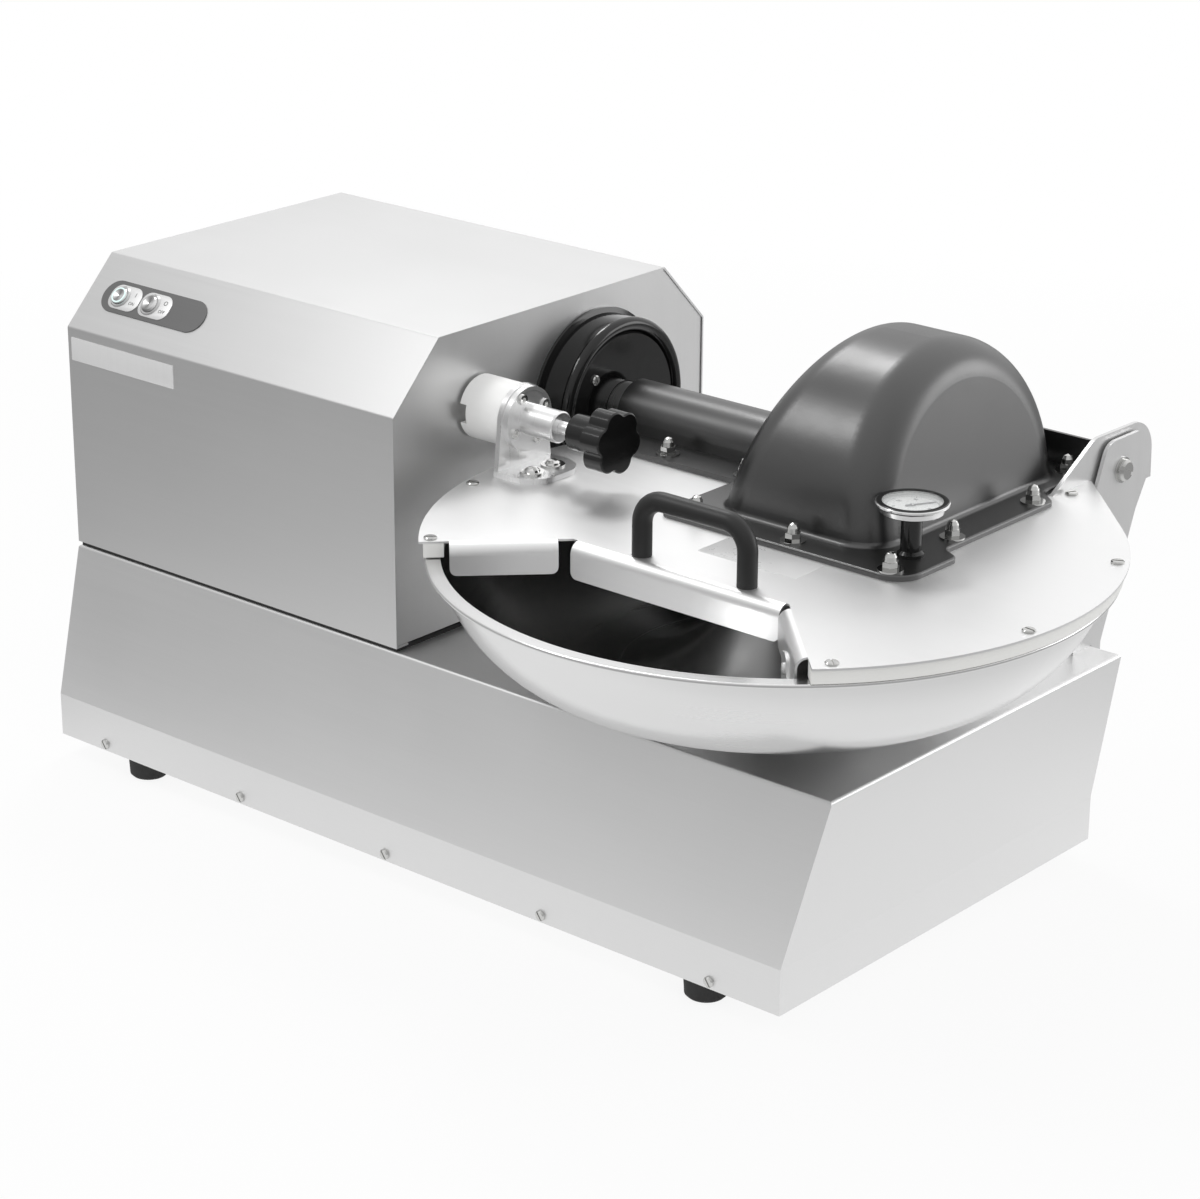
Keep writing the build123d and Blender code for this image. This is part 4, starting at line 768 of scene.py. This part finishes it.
@dataclass
class Housing(Part):
    """The motor housing with its bare name plate."""

    plate_start: float = 4 * MM
    plate_end: float = 117 * MM
    plate_low: float = 147.5 * MM
    plate_high: float = 165.5 * MM
    plate_thick: float = 0.6 * MM
    plate_corner: float = 0.8 * MM
    plate_bevel: float = 0.3 * MM
    steel: Finish = BrushedMetal("housing_steel", grey(0.68), roughness=0.44, contrast=0.04)
    panel_steel: Finish = BrushedMetal(
        "end_panel_steel", grey(0.7), Grain.ALONG_Z, roughness=0.42, contrast=0.04
    )
    plate_metal: Finish = BrushedMetal(
        "plate_metal", grey(0.8), Grain.ALONG_Z, metallic=0.4, roughness=0.36, contrast=0.05
    )
    keeper: Finish = TurnedMetal("keeper_metal", grey(0.7), axis=0)

    def dress(self, nodes: Nodes) -> None:
        """Dresses the housing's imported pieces."""
        self.steel.dress(nodes["housing_shell"])
        self.panel_steel.dress(nodes["housing_end_panel"], nodes["housing_vent_panel"])
        self.keeper.dress(nodes["latch_keeper"])

    def build(self) -> None:
        """Models the bare metal plate on the front face."""
        length = self.plate_end - self.plate_start
        width = self.plate_high - self.plate_low
        middle = Vector((self.plate_start + self.plate_end, 0, self.plate_low + self.plate_high)) / 2
        seat = Seat(Places.low("housing_shell") + middle, RIGHT, FRONT)
        plate = Bench.slab((length, width, self.plate_thick), self.plate_corner, self.plate_bevel)
        Bench.put(plate, seat)
        Bench.finish(plate, "name_plate_blank", "base", "stainless", self.plate_metal)


@dataclass
class Controls(Part):
    """The control plate with its two buttons, their legend plates and the lit ring."""

    legend_back: float = 11.0 * MM
    legend_front: float = 21.0 * MM
    legend_width: float = 20.5 * MM
    legend_thick: float = 0.35 * MM
    legend_corner: float = 8.5 * MM
    legend_bevel: float = 0.2 * MM
    legend_hole: float = 7.6 * MM
    legend_drill: float = 4 * MM
    sign_out: float = 14.2 * MM
    sign_up: float = 4.0 * MM
    sign_height: float = 3.6 * MM
    word_down: float = -3.4 * MM
    word_height: float = 2.7 * MM
    ink_thick: float = 0.12 * MM
    ink_up: float = 0.12 * MM
    lit_outer: float = 6.5 * MM
    lit_inner: float = 5.2 * MM
    lit_thick: float = 0.9 * MM
    lit_sunk: float = 0.72  # the share of the ring that lies in the button's face
    slope: Triple = (0.0, -0.7, 0.7)
    plate: Finish = BrushedMetal("control_plate", grey(0.2), roughness=0.5, contrast=0.12)
    legend: Finish = BrushedMetal(
        "legend_metal", grey(0.74), Grain.ALONG_Y, metallic=0.7, roughness=0.48
    )
    ink: Finish = Moulded("legend_ink", grey(0.06), roughness=0.55, pebble=0.3 * MM)
    light: Finish = GlowingRing("lit_ring", (0.7, 0.86, 0.84))
    bright: Finish = BrushedMetal("bezel_metal", grey(0.66), Grain.EVEN, roughness=0.14)

    def seats(self) -> list[Seat]:
        """Returns the middle of each button's face, on the control plate's top."""
        facing = Places.widest_facing("control_panel", Vector(self.slope))
        middle = Places.middle("control_panel")
        plate_top = Places.reach("control_panel", middle, facing)
        found = []
        for button in ("start_button", "stop_button"):
            place = Places.middle(button)
            flat = place - facing * (place - middle).dot(facing)
            found.append(Seat(flat + facing * plate_top, RIGHT, facing))
        return found

    def dress(self, nodes: Nodes) -> None:
        """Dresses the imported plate, bezels and buttons."""
        self.plate.dress(nodes["control_panel"])
        self.bright.dress(nodes["button_bezels"])
        for button in ("start_button", "stop_button"):
            centre = tuple(Places.middle(button))
            # each button face gets a painted highlight and painted shade in sectors round its middle
            SunburstMetal(f"{button}_face", grey(0.82), centre=centre).dress(nodes[button])

    def legend_plate(self, seat: Seat, name: str) -> None:
        """Models the light plate round a button, with the button's hole."""
        length = self.legend_back + self.legend_front
        shift = (self.legend_front - self.legend_back) / 2
        size = (length, self.legend_width, self.legend_thick)
        plate = Bench.slab(size, self.legend_corner, self.legend_bevel)
        Bench.bore(plate, -shift, self.legend_hole, self.legend_drill)
        Bench.put(plate, seat.moved(x=shift))
        Bench.finish(plate, name, "base", "button_metal", self.legend)

    def words(self, seat: Seat, sign: str, word: str, name: str) -> None:
        """Prints a button's sign and word on its legend plate."""
        top = self.legend_thick + self.ink_up
        upper = Bench.word(sign, self.sign_height, self.ink_thick)
        Bench.put(upper, seat.moved(self.sign_out, self.sign_up, top))
        lower = Bench.word(word, self.word_height, self.ink_thick)
        Bench.put(lower, seat.moved(self.sign_out, self.word_down, top))
        Bench.finish(Bench.join([upper, lower]), name, "base", "black_moulding", self.ink)

    def lit_ring(self, seat: Seat) -> None:
        """Models the pale ring in the start button's face."""
        height = Places.reach("start_button", seat.origin, seat.facing)
        ring = Bench.ring(self.lit_outer, self.lit_inner, self.lit_thick)
        Bench.put(ring, seat.moved(z=height - self.lit_thick * self.lit_sunk))
        Bench.finish(ring, "start_lit_ring", "start", "dial_white", self.light)

    def build(self) -> None:
        """Builds the legends and the lit ring."""
        start, stop = self.seats()
        self.legend_plate(start, "start_legend")
        self.words(start, "I", "ON", "start_words")
        self.legend_plate(stop, "stop_legend")
        self.words(stop, "O", "OFF", "stop_words")
        self.lit_ring(start)


@dataclass
class Drive(Part):
    """The motor, belts, knife shaft and bowl gear inside the casing."""

    paint: Finish = Moulded("motor_enamel", (0.09, 0.1, 0.11), roughness=0.35, pebble=2 * MM, coat=0.3)
    casting: Finish = Moulded("casting_paint", (0.055, 0.06, 0.062), roughness=0.5, pebble=3 * MM)
    belt: Finish = RibbedRubber("belt_rubber", (0.02, 0.02, 0.021))
    nylon: Finish = Moulded("nylon_wheel", (0.8, 0.8, 0.78), roughness=0.4, pebble=2 * MM)

    def dress(self, nodes: Nodes) -> None:
        """Dresses the drive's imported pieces."""
        steel = turned_about("knife_shaft", "shaft_steel", grey(0.6), axis=0)
        worm_steel = turned_about("worm_shaft", "worm_steel", grey(0.6), axis=0)
        rotor_steel = turned_about("motor_rotor", "rotor_steel", grey(0.6), axis=0)
        bearing = turned_about("knife_shaft", "bearing_steel", (0.65, 0.65, 0.66), axis=0, roughness=0.15)
        self.paint.dress(nodes["motor_body"])
        self.casting.dress(nodes["motor_mount"], nodes["bearing_housing"], nodes["pillow_block"])
        self.casting.dress(nodes["gear_case"], nodes["gear_cover"])
        self.belt.dress(nodes["knife_belt"], nodes["bowl_belt"])
        self.nylon.dress(nodes["worm_wheel"])
        bearing.dress(nodes["knife_bearings"])
        steel.dress(nodes["knife_shaft"], nodes["knife_pulley"])
        steel.dress(nodes["knife_nut"], nodes["knife_spacers"])
        worm_steel.dress(nodes["worm_shaft"], nodes["worm_pulley"])
        rotor_steel.dress(nodes["motor_rotor"])


@dataclass
class Knives(Part):
    """The sickle knives."""

    blade: Finish = BrushedMetal(
        "knife_steel", (0.68, 0.68, 0.69), Grain.ALONG_Z, roughness=0.2, contrast=0.08
    )

    def dress(self, nodes: Nodes) -> None:
        """Dresses the knives."""
        self.blade.dress(nodes["knife_blades"])


@dataclass
class Bowl(Part):
    """The spun bowl with its spindle and bearing."""

    def dress(self, nodes: Nodes) -> None:
        """Dresses the bowl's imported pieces."""
        spun = turned_about(
            "bowl",
            "bowl_steel",
            grey(0.75),
            pitch=1.4 * MM,
            roughness=0.24,
            contrast=0.05,
            mark_depth=1 * MICRON,
        )
        turned = turned_about("bowl", "spindle_steel", grey(0.62))
        spun.dress(nodes["bowl"])
        turned.dress(nodes["bowl_spindle"], nodes["bowl_bearing"])


@dataclass
class Lid(Part):
    """The hinged lid with its ring, handle, hinge, scraper and bare film."""

    film_right: float = 29.0 * MM
    film_beyond: float = 8.0 * MM
    film_near: float = 31.0 * MM
    film_far: float = 64.0 * MM
    film_thick: float = 0.15 * MM
    film_corner: float = 1.5 * MM
    film_bevel: float = 0.1 * MM
    steel: Finish = BrushedMetal(
        "lid_steel", grey(0.84), roughness=0.46, contrast=0.03, line_depth=3 * MICRON
    )
    hinge_steel: Finish = BrushedMetal(
        "hinge_steel", grey(0.72), Grain.ALONG_Z, metallic=0.75, roughness=0.36, contrast=0.05
    )
    screw_steel: Finish = BrushedMetal("lid_screw_steel", (0.55, 0.55, 0.54), Grain.EVEN, roughness=0.14)
    nylon: Finish = Moulded("lid_nylon", (0.82, 0.82, 0.8), roughness=0.42, pebble=2 * MM, contrast=0.03)
    grip: Finish = Moulded("handle_moulding", grey(0.012), roughness=0.45, pebble=0.6 * MM)
    scraper: Finish = Moulded("scraper_moulding", grey(0.025))
    film: Finish = Moulded("bare_film", grey(0.72), roughness=0.3, pebble=3 * MM, contrast=0.02)

    def dress(self, nodes: Nodes) -> None:
        """Dresses the lid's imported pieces."""
        self.steel.dress(nodes["lid_plate"])
        self.hinge_steel.dress(nodes["hinge_arms"], nodes["hinge_posts"], nodes["scraper_bracket"])
        self.screw_steel.dress(nodes["lid_screws"], nodes["hinge_pins"])
        self.nylon.dress(nodes["lid_ring"])
        self.grip.dress(nodes["handle"])
        self.scraper.dress(nodes["scraper_blade"])

    def build(self) -> None:
        """Models the blank film on the lid in front of the knife cover."""
        low, high = Places.low("handle"), Places.high("handle")
        x0, x1 = low.x + self.film_right, high.x + self.film_beyond
        middle_y = (low.y + high.y) / 2
        y0, y1 = middle_y + self.film_near, middle_y + self.film_far
        middle = Vector(((x0 + x1) / 2, (y0 + y1) / 2, Places.low("knife_cover").z))
        film = Bench.slab((x1 - x0, y1 - y0, self.film_thick), self.film_corner, self.film_bevel)
        Bench.put(film, Seat(middle, RIGHT, UP))
        Bench.finish(film, "lid_film_blank", "lid", "stainless", self.film)


@dataclass
class KnifeCover(Part):
    """The moulded knife cover, the bearing cap that it meets, and their fasteners."""

    moulding: Finish = Moulded(
        "cover_moulding",
        grey(0.006),
        roughness=0.34,
        pebble=1.1 * MM,
        depth=20 * MICRON,
        shine=0.9,
        bend=1.68,
    )
    cap: Finish = Moulded(
        "cap_moulding", grey(0.005), roughness=0.13, pebble=1.5 * MM, depth=10 * MICRON
    )
    nut_steel: Finish = BrushedMetal("nut_steel", (0.6, 0.6, 0.59), Grain.EVEN, roughness=0.06)

    def dress(self, nodes: Nodes) -> None:
        """Dresses the cover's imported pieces."""
        self.moulding.dress(nodes["knife_cover"], nodes["rear_guard"])
        self.cap.dress(nodes["bearing_cap"])
        self.nut_steel.dress(nodes["cover_nuts"])


@dataclass
class Thermometer(Part):
    """The dial thermometer: its case with a black ring, and the scale on its face."""

    face_radius: float = 19.8 * MM
    face_thick: float = 0.5 * MM
    ring_outer: float = 24.0 * MM
    ring_inner: float = 20.4 * MM
    ring_thick: float = 0.5 * MM
    ring_gap: float = 0.02 * MM
    first: float = 225.0
    last: float = -45.0
    steps: int = 50
    numbered: int = 10
    per_step: int = 2
    long_tick: tuple[float, float] = (2.6 * MM, 0.45 * MM)
    short_tick: tuple[float, float] = (1.4 * MM, 0.25 * MM)
    tick_corner: float = 0.05 * MM
    tick_bevel: float = 0.03 * MM
    tick_inset: float = 1.2 * MM
    number_height: float = 2.6 * MM
    number_inset: float = 7.0 * MM
    ink_thick: float = 0.1 * MM
    black: Finish = Moulded("stem_moulding", grey(0.006), roughness=0.12)
    white: Finish = Moulded("dial_white", (0.7, 0.7, 0.69), roughness=0.5, pebble=0.6 * MM, contrast=0.02)
    ink: Finish = Moulded("dial_ink", grey(0.03), roughness=0.5, pebble=0.4 * MM)
    glass: Finish = ClearGlass("dial_glass", (0.95, 0.97, 0.97))

    def dress(self, nodes: Nodes) -> None:
        """Dresses the thermometer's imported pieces."""
        bezel = turned_about(
            "thermometer_case", "dial_case", grey(0.78), pitch=0.7 * MM, roughness=0.16
        )
        bezel.dress(nodes["thermometer_case"])
        self.black.dress(nodes["thermometer_stem"])
        self.white.dress(nodes["thermometer_dial"])
        self.ink.dress(nodes["thermometer_needle"])
        self.glass.dress(nodes["thermometer_glass"])

    def seat(self) -> Seat:
        """Returns the middle of the white face, facing up."""
        face = Places.middle("thermometer_dial")
        face.z = Places.low("thermometer_dial").z + self.face_thick
        return Seat(face, RIGHT, UP)

    def black_ring(self, seat: Seat) -> None:
        """Models the black ring that lies on the case's rim."""
        ring = Bench.ring(self.ring_outer, self.ring_inner, self.ring_thick)
        rim = Places.high("thermometer_case").z - seat.origin.z
        Bench.put(ring, seat.moved(z=rim + self.ring_gap))
        Bench.finish(ring, "dial_dark_ring", "lid", "needle_black", self.black)

    def tick(self, seat: Seat, angle: float, size: tuple[float, float]) -> bpy.types.Object:
        """Prints a tick of that length and width, and returns it."""
        length, width = size
        mark = Bench.slab((length, width, self.ink_thick), self.tick_corner, self.tick_bevel)
        reach = self.face_radius - length / 2 - self.tick_inset
        return Bench.put(mark, seat.moved(reach * math.cos(angle), reach * math.sin(angle)), angle)

    def number(self, seat: Seat, angle: float, value: int) -> bpy.types.Object:
        """Prints a number inside the ticks, upright, and returns it."""
        mark = Bench.word(str(value), self.number_height, self.ink_thick)
        reach = self.face_radius - self.number_inset
        x, y = reach * math.cos(angle), reach * math.sin(angle)
        return Bench.put(mark, seat.moved(x, y, self.ink_thick / 2))

    def build(self) -> None:
        """Lays the black ring on the rim and prints the scale's ticks and plain numbers."""
        seat = self.seat()
        self.black_ring(seat)
        printed = []
        for step in range(self.steps + 1):
            long = step % self.numbered == 0
            angle = math.radians(self.first + (self.last - self.first) * step / self.steps)
            printed.append(self.tick(seat, angle, self.long_tick if long else self.short_tick))
            if long:
                printed.append(self.number(seat, angle, step * self.per_step))
        Bench.finish(Bench.join(printed), "dial_scale", "lid", "needle_black", self.ink)


@dataclass
class Latch(Part):
    """The lid latch: bracket, nylon guide, turned flange, rod and star knob."""

    nylon: Finish = Moulded(
        "latch_nylon", (0.95, 0.95, 0.94), roughness=0.38, pebble=1.5 * MM, contrast=0.02
    )
    bright: Finish = BrushedMetal(
        "bracket_steel", grey(0.86), Grain.ALONG_Z, roughness=0.3
    )
    knob: Finish = Moulded(
        "knob_phenolic", grey(0.005), roughness=0.13, pebble=2 * MM, depth=10 * MICRON
    )
    screw: Finish = BrushedMetal("latch_screw_steel", (0.76, 0.76, 0.75), Grain.EVEN, roughness=0.15)

    def dress(self, nodes: Nodes) -> None:
        """Dresses the latch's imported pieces."""
        turned = turned_about(
            "latch_sleeve", "latch_aluminium", grey(0.88), axis=0, pitch=0.8 * MM, roughness=0.3
        )
        self.nylon.dress(nodes["latch_sleeve"])
        self.bright.dress(nodes["latch_bracket"])
        self.knob.dress(nodes["star_knob"])
        turned.dress(nodes["latch_flange"], nodes["latch_plunger"])
        self.screw.dress(nodes["latch_screws"])


# ---------------------------------------------------------------- studio
@dataclass(frozen=True)
class Lamp:
    """A square soft lamp: where it hangs, the length of its sides and its power in watts."""

    name: str
    place: Triple
    size: float
    watts: float

    def hang(self, aim: Vector) -> None:
        """Hangs the lamp so that it faces a point."""
        Bench.clear()
        bpy.ops.object.light_add(type="AREA", location=self.place)
        lamp = bpy.context.object
        lamp.name = self.name
        lamp.data.shape = "SQUARE"
        lamp.data.size = self.size
        lamp.data.energy = self.watts
        lamp.rotation_euler = (aim - Vector(self.place)).to_track_quat("-Z", "Y").to_euler()


@dataclass
class Studio:
    """The pale floor, the soft lamps, the world's light and the camera.

    The floor and the world give mirrored rays other levels than the rest, so that the metal has
    something darker than a plain white room to mirror.
    """

    floor_half: float = 40.0
    camera_place: Triple = (1.4982, -1.7555, 1.0758)
    azimuth: float = 40.63
    elevation: float = 20.99
    roll: float = 0.34
    lens: float = 101.9
    sensor: float = 36.0
    sight: float = 200.0
    lamp_aim: Triple = (0.0, 0.0, 0.25)
    lamps: tuple[Lamp, ...] = (
        Lamp("overhead_lamp", (-0.65, 0.5, 1.5), 0.32, 3.4),
        Lamp("right_lamp", (1.6, 1.9, 0.6), 1.1, 9.0),
        Lamp("front_lamp", (-0.5, -0.6, 1.22), 0.32, 2.1),
    )
    plain: float = 0.9  # the world's light on what isn't a mirror
    horizon: float = 0.45  # the world's level in mirrors, low and in front
    overhead: float = 0.45  # what it gains straight up
    behind: float = 0.58  # what it gains straight behind
    near_edge: float = 0.45  # how far out the floor starts to change, in metres
    floor_near: float = 1.0  # the floor's own light in mirrors, up to there
    floor_fall: float = 1.2  # what it loses with each metre beyond
    floor_far: float = 0.37  # the least that is left of it
    floor_mirrored: float = 0.8  # the share of its own light in what mirrors show of it
    # paper_near to paper_far: painted shade, the floor's colour darkening away from the machine so that
    # it bounces and mirrors less light farther out
    paper_near: Colour = grey(0.88)
    paper_far: Colour = grey(0.66)
    paper_fade: float = 0.8  # how fast the near tone turns to the far one
    lit_near: float = 0.88  # the share of its own light in what the camera sees, near the machine

    def floor(self) -> None:
        """Lays the floor: pale, with the machine's shadow on it and a painted shade that darkens its
        colour away from the machine.
        """
        Bench.clear()
        bpy.ops.mesh.primitive_plane_add(size=2 * self.floor_half)
        plane = bpy.context.object
        plane.name = "studio_floor"
        material = bpy.data.materials.new("studio_floor")
        material.use_nodes = True
        shader = Shader(material.node_tree)
        x, y, _ = shader.axes(shader.place())
        away = (x * x + y * y) ** 0.5
        # painted shade: the paper's colour darkens with distance from the machine
        fade = ((away - self.near_edge) * self.paper_fade).clamped()
        tone = shader.blend(fade, self.paper_near, self.paper_far)
        paper = shader.node("ShaderNodeBsdfDiffuse", inputs={"Color": tone})
        seen, mirrored = shader.rays()
        beyond = (away - self.near_edge).at_least(0.0)
        dim = (self.floor_near - beyond * self.floor_fall).at_least(self.floor_far)
        level = dim * mirrored + (1.0 - mirrored)
        white = shader.node("ShaderNodeEmission", inputs={"Color": WHITE, "Strength": level})
        lit = self.lit_near + fade * (1 - self.lit_near)
        share = (seen * lit + mirrored * self.floor_mirrored).clamped()
        shader.output(shader.mix(share, paper, white))
        plane.data.materials.append(material)

    def world(self) -> None:
        """Lights the machine all round: soft, brighter above and behind."""
        world = bpy.data.worlds.new("studio")
        world.use_nodes = True
        bpy.context.scene.world = world
        shader = Shader(world.node_tree)
        direction = shader.node("ShaderNodeTexCoord").outputs["Generated"]
        _, y, z = shader.axes(direction)
        shaped = self.horizon + z.clamped() * self.overhead + y.clamped() * self.behind
        white = shader.node("ShaderNodeBackground", inputs={"Color": WHITE, "Strength": 1.0})
        seen, mirrored = shader.rays()
        level = shaped * mirrored + (1.0 - mirrored) * self.plain
        room = shader.node("ShaderNodeBackground", inputs={"Color": WHITE, "Strength": level})
        shader.output(shader.mix(seen.clamped(), room, white), "ShaderNodeOutputWorld")

    def camera(self) -> None:
        """Sets the camera up."""
        Bench.clear()
        bpy.ops.object.camera_add(location=self.camera_place)
        camera = bpy.context.object
        camera.name = "studio_camera"
        turn = (
            Matrix.Rotation(math.radians(self.azimuth), 4, "Z")
            @ Matrix.Rotation(math.radians(90 - self.elevation), 4, "X")
            @ Matrix.Rotation(math.radians(self.roll), 4, "Z")
        )
        camera.rotation_euler = turn.to_euler()
        camera.data.sensor_width = self.sensor
        camera.data.lens = self.lens
        camera.data.clip_end = self.sight
        bpy.context.scene.camera = camera
        bpy.context.scene.view_settings.view_transform = "Standard"

    def build(self) -> None:
        """Builds the whole studio."""
        self.floor()
        self.world()
        for lamp in self.lamps:
            lamp.hang(Vector(self.lamp_aim))
        self.camera()


def main() -> None:
    """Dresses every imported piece, builds the trim and sets up the studio."""
    logging.basicConfig(level=logging.INFO, format="%(name)s: %(message)s")
    nodes = frame["nodes"]
    for kind in (Plinth, Housing, Controls, Drive, Knives, Bowl, Lid, KnifeCover, Thermometer, Latch):
        part = kind()
        part.dress(nodes)
        part.build()
        log.info("dressed %s", kind.__name__)
    Studio().build()


if __name__ == "__main__":
    main()
